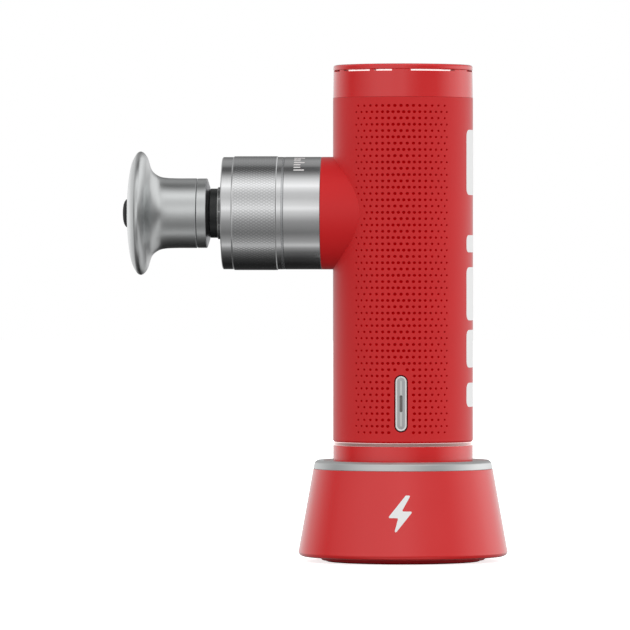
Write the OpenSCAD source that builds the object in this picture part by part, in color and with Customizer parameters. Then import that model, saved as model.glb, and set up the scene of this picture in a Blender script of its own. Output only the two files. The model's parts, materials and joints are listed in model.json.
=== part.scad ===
// Handheld percussion massager with a mushroom head, standing in a round charging dock.
// Frame: +Z up, origin on the table under the centre of the dock, nozzle along -X, key on -Y.

/* [Gun body] */
// Outer diameter of the upright body
body_d = 50; // [49.6:0.1:50.4]
// Wall of the body shell
wall = 2; // [1.8:0.1:2.1]
// Height of the nozzle axis over the table
nozzle_z = 124.2; // [124.2:0.1:124.6]
// Top of the perforated shell
shell_top = 165.2; // [165.1:0.1:165.3]
// Top of the vented crown
crown_top = 174.5; // [174.4:0.1:174.6]
// Height of the air slot under the cap
slot_h = 0.5; // [0.4:0.1:0.8]
// Thickness of the cap
cap_t = 2; // [1.6:0.1:2.6]
// Number of posts that carry the cap over the air slot
cap_posts = 7; // [5:1:9]

/* [Nozzle] */
// Outer diameter of the nozzle
nozzle_d = 40.2; // [40.2:0.1:40.6]
// Distance from the body axis to the end of the red nozzle stub
stub_end = 29; // [28.8:0.1:29.2]
// Distance from the body axis to the end of the fixed metal barrel
barrel_end = 42; // [41.8:0.1:42]
// Distance from the body axis to the front of the nose
nose_end = 64.4; // [64.2:0.1:64.6]
// Diameter of the speed ring over its knurl
knurl_d = 40.7; // [40.7:0.1:41.2]

/* [Drive] */
// Throw of the crank, half of the stroke
crank_e = 5; // [4:0.5:5]
// Diameter of the plunger
plunger_d = 17.6; // [17.5:0.1:17.6]
// Outer diameter of the crank pin bearing
pin_brg_d = 9; // [8:0.5:9]
// Outer diameter of the motor can
motor_d = 36; // [34:1:38]
// Stator teeth
stator_teeth = 9; // [6:3:12]
// Blades of the cooling fan
fan_blades = 9; // [7:2:13]

/* [Massage head] */
// Largest diameter of the mushroom head
head_d = 44.1; // [43:0.1:46]
// Diameter of the neck
neck_d = 25; // [24:0.1:26]

/* [Dock] */
// Diameter of the dock at its foot
dock_d = 74.8; // [74:0.1:76]
// Diameter of the dock under its metal rim
dock_top_d = 64; // [63.4:0.1:64]
// Height of the dock with its rim
dock_h = 36.1; // [36:0.1:36.3]
// Depth that the gun stands in the dock
seat_depth = 14; // [12:0.5:14]

/* [Hidden] */
$fn = 96;

gap = 0.05; // usual clearance between parts
body_r = body_d / 2;
inner_r = body_r - wall;
nozzle_r = nozzle_d / 2;
gun_z = dock_h - seat_depth - gap; // underside of the gun
contact_r = 7; // circle of the outer charging contacts

RED = "#c8252b";
STEEL = "#b9bcbe";
BLACK = "#1d1e20";
BOARD_GREEN = "#1f6b3a";
GOLD = "#d4af5a";
PIN_STEEL = "#d5d8da";
HOLDER_GREY = "#2b2d31";
HEAD_GREY = "#b4b8bb";

// ---------- helpers ----------
module up(z) translate([0, 0, z]) children();
// Turns local +Z to +Y or to +X.
module along_y() rotate([-90, 0, 0]) children();
module along_x() rotate([0, 90, 0]) children();
// Local +Z of the children points out along the nozzle, local X points up.
module on_nozzle(distance = 0) up(nozzle_z) rotate([0, -90, 0]) up(distance) children();
// Children copied round Z.
module around(count, first = 0) {
  for (i = [0 : count - 1]) rotate([0, 0, first + i * 360 / count]) children();
}
// A flat ring between two radii.
module ring(outer, inner, height) difference() {
  cylinder(r = outer, h = height);
  up(-1) cylinder(r = inner, h = height + 2);
}
// A solid turned from a half section of [radius, height] points.
module turned(section) rotate_extrude() polygon(section);
// A screw pointing up, with a hex socket in its head.
module socket_screw(head_h, length) difference() {
  union() {
    cylinder(r = 1.85, h = head_h);
    cylinder(r = 1, h = length);
  }
  up(-0.5) cylinder(r = 0.9, h = 1.3, $fn = 6);
}
// The cut for such a screw: head recess and clearance hole.
module screw_hole(recess_h) {
  cylinder(r = 2, h = recess_h);
  cylinder(r = 1.1, h = 9);
}

// ---------- gun: outer shells ----------
ring_z = 41.5; // bottom of the accent ring
shell_z = 42.65; // bottom of the main housing
cap_z = crown_top + slot_h; // underside of the cap
grille_z = shell_top + 0.6;
half_post = 8; // half the angle of a cap post
key_z = 56.7;

// Bar along Y with round ends above and below, centred on the key height.
module key_bar(width, length, y0, y1) {
  for (side = [-1, 1]) translate([0, y0, key_z + side * (length - width) / 2])
    along_y() cylinder(r = width / 2, h = y1 - y0);
  translate([-width / 2, y0, key_z - (length - width) / 2])
    cube([width, y1 - y0, length - width]);
}
module at_cap_screws(z) around(4, 45) translate([18, 0, z]) children();

// Upright tube with the nozzle stub and the key opening.
module main_housing() color(RED) difference() {
  union() {
    turned([[inner_r, shell_z], [body_r - 0.5, shell_z], [body_r, shell_z + 0.6],
      [body_r, shell_top], [inner_r, shell_top]]);
    on_nozzle(5) cylinder(r = nozzle_r, h = stub_end - 5);
  }
  up(shell_z - 1) cylinder(r = inner_r, h = shell_top - shell_z + 2);
  on_nozzle() cylinder(r = nozzle_r - wall, h = stub_end + 1);
  key_bar(4.8, 20.3, -body_r - 1, -15);
}

// Crown with a spigot into the housing, and the grille over the fan.
module crown_band() color(RED) {
  spigot_z = shell_top - 5;
  difference() {
    turned([[21.2, spigot_z], [inner_r - gap, spigot_z], [inner_r - gap, shell_top + gap],
      [body_r - gap, shell_top + gap], [body_r - 0.2, cap_z - 0.02], [22.6, cap_z - 0.02],
      [22.6, shell_top + 1.5], [21.2, shell_top + 1.5]]);
    // air windows between the posts
    around(cap_posts, -90 + half_post)
      rotate_extrude(angle = 360 / cap_posts - 2 * half_post)
        translate([20, crown_top]) square([8, slot_h + 1]);
  }
  difference() {
    union() {
      // [outer, inner] radii of the grille rings
      for (radii = [[21.6, 20.6], [6.4, 4.4], [13.8, 12.6]])
        up(grille_z) ring(radii[0], radii[1], 1.6);
      around(6) translate([5.6, -0.7, grille_z]) cube([15.6, 1.4, 1.6]);
    }
    up(shell_top - 1) cylinder(r = 3.2, h = 5);
  }
}

module top_cap() color(RED) {
  cap_top = cap_z + cap_t;
  turned([[0, cap_z], [body_r - 0.35, cap_z], [body_r - 0.15, cap_z + 0.3],
    [body_r - 0.15, cap_top - 0.7], [body_r - 0.4, cap_top - 0.25],
    [body_r - 1, cap_top - 0.05], [body_r - 2.2, cap_top], [0, cap_top]]);
  // centring boss and snap legs that reach into the crown
  up(shell_top + 0.8) cylinder(r = 3.1, h = cap_z - shell_top - 0.4);
  around(3, 30) translate([17.2, -2.5, shell_top + 2.6])
    cube([1.6, 5, cap_z - shell_top - 2.2]);
}

// Slotted sleeve inside the crown.
module air_filter() color("#e8e6e3") difference() {
  up(shell_top + 2.3) ring(22.4, 21.2, cap_z - shell_top - 2.4);
  around(28, 6) translate([19, -1, shell_top + 3.6]) cube([5, 2, cap_z - shell_top - 4.6]);
}

module accent_ring() color(STEEL)
  turned([[inner_r - 0.02, ring_z], [body_r - 0.1, ring_z], [body_r, ring_z + 0.1],
    [body_r, ring_z + 1], [body_r - 0.1, ring_z + 1.1], [inner_r - 0.02, ring_z + 1.1]]);

module bottom_cap() color(RED) difference() {
  union() {
    turned([[0, gun_z], [body_r - 1.6, gun_z], [body_r - 0.5, gun_z + 0.35],
      [body_r - gap, gun_z + 1.3], [body_r - gap, ring_z - gap],
      [inner_r - 0.1, ring_z - gap], [inner_r - 0.1, shell_z + 2.8], [21.2, shell_z + 2.8],
      [21.2, ring_z - 0.3], [inner_r - 0.1, ring_z - 1.9], [inner_r - 0.1, gun_z + 2.5],
      [0, gun_z + 2.5]]);
    at_cap_screws(gun_z + 1) cylinder(r = 2.9, h = 5);
  }
  // recesses for the centre pad and the contact ring
  up(gun_z - 1) cylinder(r = 2.6, h = 1.9);
  up(gun_z - 1) ring(contact_r + 1.1, contact_r - 1.1, 1.9);
  at_cap_screws(gun_z - 1) screw_hole(3.2);
}

module bottom_screws() color(STEEL) at_cap_screws(gun_z + 0.6) socket_screw(1.55, 9);

// Centre pad and contact ring under the gun.
module charge_contacts() color(GOLD) up(gun_z + 0.1) {
  cylinder(r = 2.5, h = 0.75);
  ring(contact_r + 1, contact_r - 1, 0.75);
}

// ---------- gun: mode key ----------
// Key with a wider inner flange and a stem towards the switch.
module mode_key() color("#c9cccf") difference() {
  union() {
    key_bar(4, 19.5, -body_r - 0.2, -22.4);
    key_bar(6.2, 21.6, -22.5, -21.7);
    translate([0, -21.8, key_z]) along_y() cylinder(r = 1, h = 1.75);
  }
  // slot for the light guide
  key_bar(1.3, 6.2, -body_r - 1, -23);
}

module key_light_guide() color("#8a8680") key_bar(1.2, 6.1, -body_r + 0.35, -23.05);

module key_gasket() color(BLACK) difference() {
  key_bar(7.4, 22.6, -21.04, -20.3);
  key_bar(5.2, 20.4, -22, -19);
}

module key_board() color(BOARD_GREEN) difference() {
  translate([-5.5, -17.4, key_z - 14]) cube([11, 1.2, 28]);
  for (side = [-1, 1]) translate([0, -18, key_z + side * 12])
    along_y() cylinder(r = 1.1, h = 3);
}

// Switch behind the key, with a small block above and below it.
module tact_switch() color("#3a3c40") {
  translate([-2.6, -19, key_z - 2.6]) cube([5.2, 1.55, 5.2]);
  translate([0, -19.35, key_z]) along_y() cylinder(r = 1.2, h = 1);
  for (z = [-9, 9]) translate([-1.2, -18.3, key_z + z - 1]) cube([2.4, 0.85, 2]);
}

// ---------- gun: electronics and battery ----------
cell_r = 9.1;
cell_z = 37.5;
cell_l = 65; // with the end button
button_h = 1;
cell_circle_r = 10.74; // circle of the cell axes
board_angle = 30;
board_x = 16.2; // inner face of the main board, along its own X
board_t = 1.4;
parts_x = board_x + board_t + gap; // foot of the parts on the board
cell_lead_angle = 150;

module at_cells(z) around(3, 90) translate([cell_circle_r, 0, z]) children();

module battery_cells() color("#3f74b5") {
  at_cells(cell_z) cylinder(r = cell_r, h = cell_l - button_h);
  at_cells(cell_z + cell_l - button_h) cylinder(r = 3, h = button_h);
}

// Holder disc with a centre hole and an edge notch for the battery leads.
module holder(z, height) difference() {
  up(z) cylinder(r = 22, h = height);
  rotate([0, 0, cell_lead_angle]) translate([17.2, -6, z - 1]) cube([10, 12, height + 2]);
  up(z - 1) cylinder(r = 1.6, h = height + 2);
}

// Lower holder on four posts over the bottom cap.
module cell_holder_lower() color(HOLDER_GREY) difference() {
  holder_z = 34;
  union() {
    holder(holder_z, 5.5);
    at_cap_screws(gun_z + 6.2) cylinder(r = 2.8, h = holder_z - gun_z - 5.2);
  }
  at_cells(cell_z - gap) cylinder(r = cell_r + 0.1, h = 5);
  at_cap_screws(gun_z + 5) cylinder(r = 1.05, h = 5.2);
}

module cell_holder_upper() color(HOLDER_GREY) difference() {
  holder(100.4, 4.8);
  // room for the main board
  rotate([0, 0, board_angle]) translate([15.4, -13, 99]) cube([10, 26, 8]);
  at_cells(99) {
    cylinder(r = cell_r + 0.1, h = 2.55);
    cylinder(r = 3.1, h = 4);
  }
}

module main_board() color(BOARD_GREEN) rotate([0, 0, board_angle]) difference() {
  translate([board_x, -11, 44]) cube([board_t, 22, 60]);
  for (y = [-9, 9], z = [46.5, 101.5]) translate([15, y, z])
    along_x() cylinder(r = 1.1, h = 4);
}

// Six transistors, with a square part and two round parts below them.
module power_transistors() color(BLACK) rotate([0, 0, board_angle]) {
  for (column = [0 : 2], row = [0 : 1])
    translate([parts_x, -7.6 + column * 5.4, 78 + row * 7]) cube([1.1, 4, 5]);
  translate([parts_x, -3, 60]) cube([1, 6, 6]);
  for (y = [-6, 6]) translate([parts_x, y, 53]) along_x() cylinder(r = 2.4, h = 2.4);
}

// Two upright leads, each with a ball at its top.
module battery_leads() color("#b3202a") rotate([0, 0, cell_lead_angle])
  for (y = [-2.4, 2.4]) translate([18.6, y, 35]) {
    cylinder(r = 0.8, h = 69);
    up(69) sphere(r = 1.1, $fn = 24);
  }

lead_angles = [2, 16, 30];
lead_r = 18.4; // radius where the motor leads climb
lead_in_r = 12.6; // radius where they enter the stator
lead_z0 = 104.6;
lead_z1 = 141.2; // height where they cross over the frame
module at_leads() for (angle = lead_angles) rotate([0, 0, angle]) children();

// Three leads climb past the crank, cross over the frame and turn up into the stator.
module motor_leads() color("#d9b13b") at_leads() {
  translate([lead_r, 0, lead_z0]) cylinder(r = 0.7, h = lead_z1 - lead_z0);
  translate([lead_r, 0, lead_z1]) sphere(r = 0.85, $fn = 24);
  translate([lead_in_r, 0, lead_z1]) {
    along_x() cylinder(r = 0.65, h = lead_r - lead_in_r);
    sphere(r = 0.8, $fn = 24);
    cylinder(r = 0.6, h = 1.85);
  }
}

// ---------- gun: motor and its frame ----------
frame_z0 = 109;
frame_z1 = 140;
motor_r = motor_d / 2;
shaft_r = 2.5;
shaft_bore_r = 2.52;
bearing_r = 6.5;
bearing_seat_r = 6.52;
upper_bearing_z = 153.45;
stator_z = 144;
stator_h = 12;
fan_z = 160.4;
fan_h = 4.4;

module at_motor_screws(z) around(4, 60) translate([12.8, 0, z]) children();

// Drum that holds the crank space, closed by a plate at each end.
module drive_frame() color("#8d9196") difference() {
  up(frame_z0) cylinder(r = 22.8, h = frame_z1 - frame_z0);
  up(frame_z0 + 3) cylinder(r = 20, h = 24);
  // seat of the lower shaft bearing
  up(frame_z1 - 5) cylinder(r = bearing_seat_r, h = 6);
  // window for the plunger guide
  on_nozzle() cylinder(r = 12, h = 26);
  // grooves for the damper rings
  for (z = [frame_z0 + 0.6, frame_z1 - 2.4]) up(z) ring(24, 21.6, 1.8);
  // air and lead openings: through both plates, then in the lower plate only
  around(3, 90) translate([lead_r, 0, frame_z0 - 1]) cylinder(r = 1.5, h = 40);
  at_leads() translate([lead_r, 0, frame_z0 - 1]) cylinder(r = 1.3, h = 40);
  around(4, 75) translate([12, 0, frame_z0 - 1]) cylinder(r = 3, h = 6);
  at_motor_screws(frame_z1 - 5) cylinder(r = 1.1, h = 6);
}

module damper_rings() color(BLACK)
  for (z = [frame_z0 + 0.7, frame_z1 - 2.3]) up(z) ring(inner_r - 0.03, 21.65, 1.6);

// Flange and hollow post that carry the stator and the upper bearing.
module motor_base() color("#a4a8ac") difference() {
  up(frame_z1 + gap) {
    cylinder(r = 15, h = 2.2);
    cylinder(r = 8, h = 17.6);
  }
  up(frame_z1 - 1) cylinder(r = 6, h = 30);
  up(upper_bearing_z - gap) cylinder(r = bearing_seat_r, h = 10);
  at_motor_screws(frame_z1 - 1) cylinder(r = 1.1, h = 5);
  // slots for the motor leads
  at_leads() translate([11.5, -1, frame_z1 - 1]) cube([5, 2, 5]);
}

// Hub ring, teeth and pole shoes.
module stator_core() color("#6d7278") {
  up(stator_z) ring(9.6, 8.03, stator_h);
  around(stator_teeth) translate([9.3, -0.9, stator_z]) cube([3.2, 1.8, stator_h]);
  intersection() {
    up(stator_z) ring(13.6, 12.2, stator_h);
    union() around(stator_teeth)
      translate([11, -2.9, stator_z - 1]) cube([4, 5.8, stator_h + 2]);
  }
}

module stator_windings() color("#b8743a") around(stator_teeth) difference() {
  translate([9.75, -1.75, stator_z - 0.8]) cube([2.2, 3.5, stator_h + 1.6]);
  translate([9, -0.95, stator_z - 0.1]) cube([4, 1.9, stator_h + 0.2]);
}

module shaft_bearings() color(STEEL)
  for (z = [frame_z1 - 4, upper_bearing_z]) up(z) ring(bearing_r, 2.53, 4);

module drive_screws() color(STEEL) at_motor_screws(frame_z1 - 3.9) difference() {
  union() {
    cylinder(r = 1, h = 6.4);
    up(6.25) cylinder(r = 1.7, h = 0.75);
  }
  up(6.6) cylinder(r = 0.8, h = 1, $fn = 6);
}

// Can open downwards, with six holes in its roof.
module rotor_can() color("#53575d") difference() {
  up(142.9) cylinder(r = motor_r, h = 17.3);
  up(142) cylinder(r = motor_r - 1.6, h = 16.4);
  up(141) cylinder(r = shaft_bore_r, h = 22);
  around(6) translate([10, 0, 150]) cylinder(r = 2.6, h = 12);
}

// Twelve magnets with narrow gaps.
module rotor_magnets() color("#2e3033") difference() {
  up(stator_z) ring(motor_r - 1.62, 14.1, stator_h);
  around(12, 15) translate([13, -0.25, stator_z - 1]) cube([5, 0.5, stator_h + 2]);
}

module motor_shaft() color(PIN_STEEL) difference() {
  up(129.6) cylinder(r = shaft_r, h = 34.6);
  // centre drillings, as turned shafts have
  for (z = [128.6, 163.6]) up(z) cylinder(r = 0.6, h = 1.6);
}

// Hub and tilted blades trimmed to a circle.
module cooling_fan() color("#33363a") {
  up(fan_z) ring(5, shaft_bore_r, fan_h);
  intersection() {
    up(fan_z) ring(20, 4.5, fan_h);
    around(fan_blades) translate([4.2, -0.5, fan_z]) rotate([18, 0, 0]) cube([16, 1, fan_h]);
  }
}

// ---------- gun: crank and plunger ----------
crank_z = 129.4; // underside of the crank disc
crank_t = 5;
pin_r = 2;
pin_bore_r = 2.02;
pin_bearing_r = pin_brg_d / 2;
plunger_r = plunger_d / 2;
// Half sizes of the slot that the pin bearing runs in.
slot_half_x = pin_bearing_r + 0.2105 * crank_e + 0.12;
slot_half_y = crank_e + pin_bearing_r + 0.3;

// Rod along Y through the yoke and the plunger.
module cross_rod(radius, length)
  on_nozzle(25) rotate([90, 0, 0]) cylinder(r = radius, h = length, center = true);

module crank_disc() color("#9b8a5a") difference() {
  union() {
    up(crank_z) cylinder(r = 8.5, h = crank_t);
    // counterweight opposite the pin
    intersection() {
      up(crank_z) cylinder(r = 15.5, h = crank_t);
      translate([-16, -12, 129]) cube([16, 24, 6]);
    }
  }
  up(128) cylinder(r = shaft_bore_r, h = 8);
  translate([crank_e, 0, 128]) cylinder(r = pin_bore_r, h = 8);
}

// Pin with a collar below and above the bearing.
module crank_pin() color(PIN_STEEL) translate([crank_e, 0, nozzle_z]) {
  up(-2.9) cylinder(r = pin_r, h = 12.2);
  up(-2.9) cylinder(r = 3, h = 0.8);
  up(2.1) cylinder(r = 3, h = 2.8);
}

module crank_bearing() color(STEEL)
  translate([crank_e, 0, nozzle_z - 2]) ring(pin_bearing_r, pin_bore_r, 4);

// Slotted frame round the pin bearing, with a bar and a round spigot into the plunger.
module yoke() color("#b4b7b9") difference() {
  union() {
    translate([crank_e - slot_half_x - 3, -slot_half_y - 2.8, nozzle_z - 2.5])
      cube([2 * slot_half_x + 6, 2 * slot_half_y + 5.6, 5]);
    translate([-19.3, -5, nozzle_z - 2.5]) cube([19.3 + crank_e - slot_half_x - 2, 10, 5]);
    on_nozzle(18) cylinder(r = 5, h = 12.5);
  }
  translate([crank_e - slot_half_x, -slot_half_y, nozzle_z - 4])
    cube([2 * slot_half_x, 2 * slot_half_y, 8]);
  cross_rod(1.52, 20);
}

// Rod bored from both ends, for the yoke and for the head stem.
module plunger() color(BLACK) difference() {
  on_nozzle() turned([[5.05, 19.5], [plunger_r, 19.5], [plunger_r, 68.25],
    [plunger_r - 0.4, 68.75], [6.5, 68.75], [6.08, 68.3], [6.08, 48.5], [0, 48.5],
    [0, 31], [5.05, 31]]);
  cross_rod(1.52, 20);
}

module yoke_cross_pin() color(PIN_STEEL) cross_rod(1.5, plunger_d - 0.8);

// ---------- gun: nozzle parts ----------
knurl_r = knurl_d / 2;
front_z = 60.5; // end of the guide housing and the speed ring, from the body axis

module guide_housing() color("#34363a") on_nozzle() difference() {
  turned([[9.6, 17], [11.9, 17], [11.9, 26], [17.7, 26], [17.7, barrel_end + gap],
    [17.3, barrel_end + gap], [17.3, front_z], [14.1, front_z], [14.1, 56], [12, 56],
    [12, 33], [9.6, 33]]);
  // lightening pockets
  around(8, 22.5) translate([14.7, 0, 25]) cylinder(r = 1.8, h = 24);
}

module guide_bush() color("#b08d4a") on_nozzle(33.1) ring(11.95, plunger_r + gap, 27.3);

module barrel() color(STEEL) on_nozzle()
  turned([[17.75, stub_end + gap], [nozzle_r - 0.1, stub_end + gap],
    [nozzle_r, stub_end + 0.15], [nozzle_r, barrel_end - 0.2],
    [nozzle_r - 0.2, barrel_end], [17.75, barrel_end]]);

// Washer with twelve small holes.
module detent_washer() color("#9fa3a6") on_nozzle(barrel_end) difference() {
  up(0.1) ring(nozzle_r - gap, 17.4, 0.7);
  around(12) translate([18.6, 0, -1]) cylinder(r = 0.5, h = 3);
}

module speed_ring() color(STEEL) on_nozzle()
  turned([[17.35, 42.85], [nozzle_r - 0.1, 42.85], [nozzle_r, 42.95], [nozzle_r, 44.5],
    [knurl_r, 44.75], [knurl_r, 60.2], [nozzle_r, front_z], [17.35, front_z]]);

module nose_ring() color(STEEL) on_nozzle()
  turned([[12.1, 56.1], [14.05, 56.1], [14.05, 60.6], [nozzle_r - gap, 60.6],
    [nozzle_r - gap, nose_end - 0.9], [nozzle_r - 0.35, nose_end - 0.3],
    [nozzle_r - 0.95, nose_end], [9.75, nose_end], [9.75, 61.2], [12.1, 61.2]]);

// Seal round the plunger, with twelve notches in its lip.
module shaft_seal() color("#3b3d40") on_nozzle() difference() {
  seal_r = plunger_r + 0.06;
  turned([[seal_r, 61.3], [9.7, 61.3], [9.7, nose_end], [9.3, nose_end + 0.1],
    [9.3, nose_end + 1.5], [9.1, nose_end + 1.7], [seal_r, nose_end + 1.7]]);
  around(12, 3) translate([9.12, -0.22, nose_end]) cube([1, 0.44, 3]);
}

// ---------- massage head ----------
neck_r = neck_d / 2;
head_r = head_d / 2;
o_rings_at = [53.9, 63.9]; // distances from the body axis

// Half section of the head: [radius, distance from the body axis].
head_outline = [
  [0, 73.55], [neck_r - 0.15, 73.55], [neck_r - 0.05, 73.7], [neck_r - 0.05, 80],
  [neck_r + 0.1, 84.2], [neck_r + 0.5, 86.6], [neck_r + 1.3, 88.2], [neck_r + 2.7, 89.7],
  [17.3, 90.6], [19.6, 91.3], [head_r - 0.95, 92.2], [head_r - 0.25, 93], [head_r, 93.8],
  [head_r - 0.35, 94.7], [head_r - 1.25, 95.4], [19, 96.4], [17.2, 97], [13, 97.75],
  [8.2, 98.25], [0, 98.45]
];

module head_body() color(HEAD_GREY) on_nozzle() difference() {
  turned(head_outline);
  // socket for the stem, clearance hole and counterbore of the clamping screw
  up(73) cylinder(r = 9.05, h = 12.1);
  up(84) cylinder(r = 2.1, h = 8);
  up(87) cylinder(r = 4.25, h = 12);
}

module head_collar() color(HEAD_GREY) on_nozzle()
  turned([[6.6, 68.9], [9.2, 68.9], [neck_r - 0.3, 69.85], [neck_r - 0.1, 70.05],
    [neck_r - 0.1, 73.2], [neck_r - 0.25, 73.35], [6.6, 73.35]]);

module head_front_plug() color("#3c3e40") on_nozzle()
  turned([[0, 90.3], [4.2, 90.3], [4.2, 98.48], [5.15, 98.5], [4.9, 98.95], [4.3, 99.45],
    [3.3, 99.85], [1.8, 100.1], [0, 100.15]]);

module head_screw() color(STEEL) on_nozzle() difference() {
  union() {
    up(62) cylinder(r = 2, h = 26);
    up(87.05) cylinder(r = 3.6, h = 3);
  }
  up(88.2) cylinder(r = 1.7, h = 3, $fn = 6);
}

// Stem with two seal grooves and a wide end in the head.
module head_stem() color(BLACK) on_nozzle() difference() {
  turned([[0, 49.2], [5.3, 49.2], [6, 49.9],
    [6, o_rings_at[0] - 1], [4.2, o_rings_at[0] - 1],
    [4.2, o_rings_at[0] + 1], [6, o_rings_at[0] + 1],
    [6, o_rings_at[1] - 1], [4.2, o_rings_at[1] - 1],
    [4.2, o_rings_at[1] + 1], [6, o_rings_at[1] + 1],
    [6, 73.45], [9, 73.45], [9, 85], [0, 85]]);
  up(60) cylinder(r = 2.05, h = 26);
}

module stem_o_rings() color(BLACK) for (distance = o_rings_at)
  on_nozzle(distance) rotate_extrude() translate([5.14, 0]) circle(r = 0.9, $fn = 32);

// ---------- dock ----------
dock_r = dock_d / 2;
dock_top_r = dock_top_d / 2;
socket_r = body_r + 0.4;
floor_z = dock_h - seat_depth - 0.1; // floor of the socket
rim_z = 33; // top of the dock shell
inlet_z = 11.7;

module at_dock_screws(z) around(3, 30) translate([23.5, 0, z]) children();
// One place on the axis and three on the contact circle.
module at_pins() {
  children();
  around(3, 90) translate([contact_r, 0, 0]) children();
}
// A flat bar along Y with round sides at the inlet: its sides, its middle, the whole.
module inlet_sides(half_width, radius, y, length)
  for (side = [-1, 1]) translate([side * half_width, y, inlet_z])
    along_y() cylinder(r = radius, h = length);
module inlet_middle(half_width, radius, y, length)
  translate([-half_width, y, inlet_z - radius]) cube([2 * half_width, length, 2 * radius]);
module inlet_bar(half_width, radius, y, length) {
  inlet_sides(half_width, radius, y, length);
  inlet_middle(half_width, radius, y, length);
}

module dock_shell() color(RED) difference() {
  turned([[dock_r - 3, 1.8], [dock_r - 1.6, 1.85], [dock_r - 0.6, 2.25], [dock_r, 3.2],
    [dock_top_r + 0.05, rim_z], [dock_top_r - 2.2, rim_z], [dock_r - 2.4, 3.7],
    [dock_r - 3, 3.7]]);
  // opening for the charging plug on the +Y side
  inlet_bar(2.85, 1.95, 30, 10);
}

module dock_trim_ring() color(STEEL)
  turned([[dock_top_r - 2.3, rim_z + gap], [dock_top_r - 0.05, rim_z + gap],
    [dock_top_r - 0.4, 35.3], [dock_top_r - 1.4, dock_h], [dock_top_r - 1.9, dock_h],
    [dock_top_r - 2.3, 35.7], [socket_r + 0.4, 32.2], [socket_r + gap, 31.2],
    [socket_r + gap, 30.5], [dock_top_r - 2.3, 30.5]]);

// Cup for the gun, on screw posts and a centre post for the pins.
module dock_socket() color(BLACK) difference() {
  union() {
    turned([[0, floor_z - 2], [socket_r + 1.8, floor_z - 2], [socket_r + 1.8, 30.4],
      [socket_r, 30.4], [socket_r, floor_z], [0, floor_z]]);
    at_dock_screws(6.2) cylinder(r = 3, h = floor_z - 7);
    up(15.1) cylinder(r = 10, h = floor_z - 16.1);
  }
  at_pins() cylinder(r = 0.85, h = 40);
  at_dock_screws(5) cylinder(r = 1.1, h = 11);
}

module dock_base() color("#a81d23") difference() {
  union() {
    turned([[0, 0.5], [28.9, 0.5], [29.4, 1], [29.4, 2], [dock_r - 3.1, 2],
      [dock_r - 3.1, 3.6], [0, 3.6]]);
    at_dock_screws(3) cylinder(r = 3, h = 3.1);
  }
  // recess for the rubber pad, and counterbored screw holes over it
  up(-1) cylinder(r = 27.7, h = 2.25);
  at_dock_screws(-1) screw_hole(4);
}

module dock_foot_pad() color("#2a2b2d")
  turned([[0, 0], [27.2, 0], [27.5, 0.3], [27.5, 1.2], [0, 1.2]]);

// Weight ring, notched under the inlet.
module dock_ballast() color("#70757a") difference() {
  up(3.7) ring(33.2, 27.2, 8);
  translate([-6, 26, 9.2]) cube([12, 10, 5]);
}

// Round board with a tongue over the inlet.
module dock_board() color(BOARD_GREEN) difference() {
  union() {
    up(13.6) cylinder(r = 20, h = 1.4);
    translate([-6, 17, 13.6]) cube([12, 14.4, 1.4]);
  }
  around(4, 45) translate([16.5, 0, 13]) cylinder(r = 1.3, h = 3);
}

module usb_inlet() color("#c3c6c8") difference() {
  inlet_bar(2.84, 1.63, 27.9, 7.3);
  inlet_sides(2.84, 1.33, 28.9, 7.3);
  // the hollow leaves a tongue in the middle
  difference() {
    inlet_middle(2.84, 1.33, 28.9, 7.3);
    translate([-2.6, 28, inlet_z - 0.35]) cube([5.2, 6.2, 0.7]);
  }
}

module pogo_pins() color(GOLD) at_pins() {
  up(16) cylinder(r = 0.78, h = floor_z - 16.3);
  up(floor_z - 0.6) cylinder(r = 0.5, h = 0.7);
}

module dock_screws() color(STEEL) at_dock_screws(1.3) socket_screw(1.6, 12);

main_housing();
crown_band();
top_cap();
air_filter();
accent_ring();
bottom_cap();
bottom_screws();
charge_contacts();
key_gasket();
key_board();
tact_switch();
main_board();
power_transistors();
battery_cells();
cell_holder_lower();
cell_holder_upper();
battery_leads();
motor_leads();
drive_frame();
damper_rings();
motor_base();
stator_core();
stator_windings();
shaft_bearings();
drive_screws();
guide_housing();
guide_bush();
shaft_seal();
barrel();
detent_washer();
nose_ring();
rotor_can();
rotor_magnets();
motor_shaft();
cooling_fan();
crank_disc();
crank_pin();
crank_bearing();
yoke();
plunger();
yoke_cross_pin();
head_body();
head_collar();
head_front_plug();
head_screw();
head_stem();
stem_o_rings();
speed_ring();
mode_key();
key_light_guide();
dock_shell();
dock_trim_ring();
dock_socket();
dock_base();
dock_foot_pad();
dock_ballast();
dock_board();
usb_inlet();
pogo_pins();
dock_screws();
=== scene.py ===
import json
import math

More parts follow.
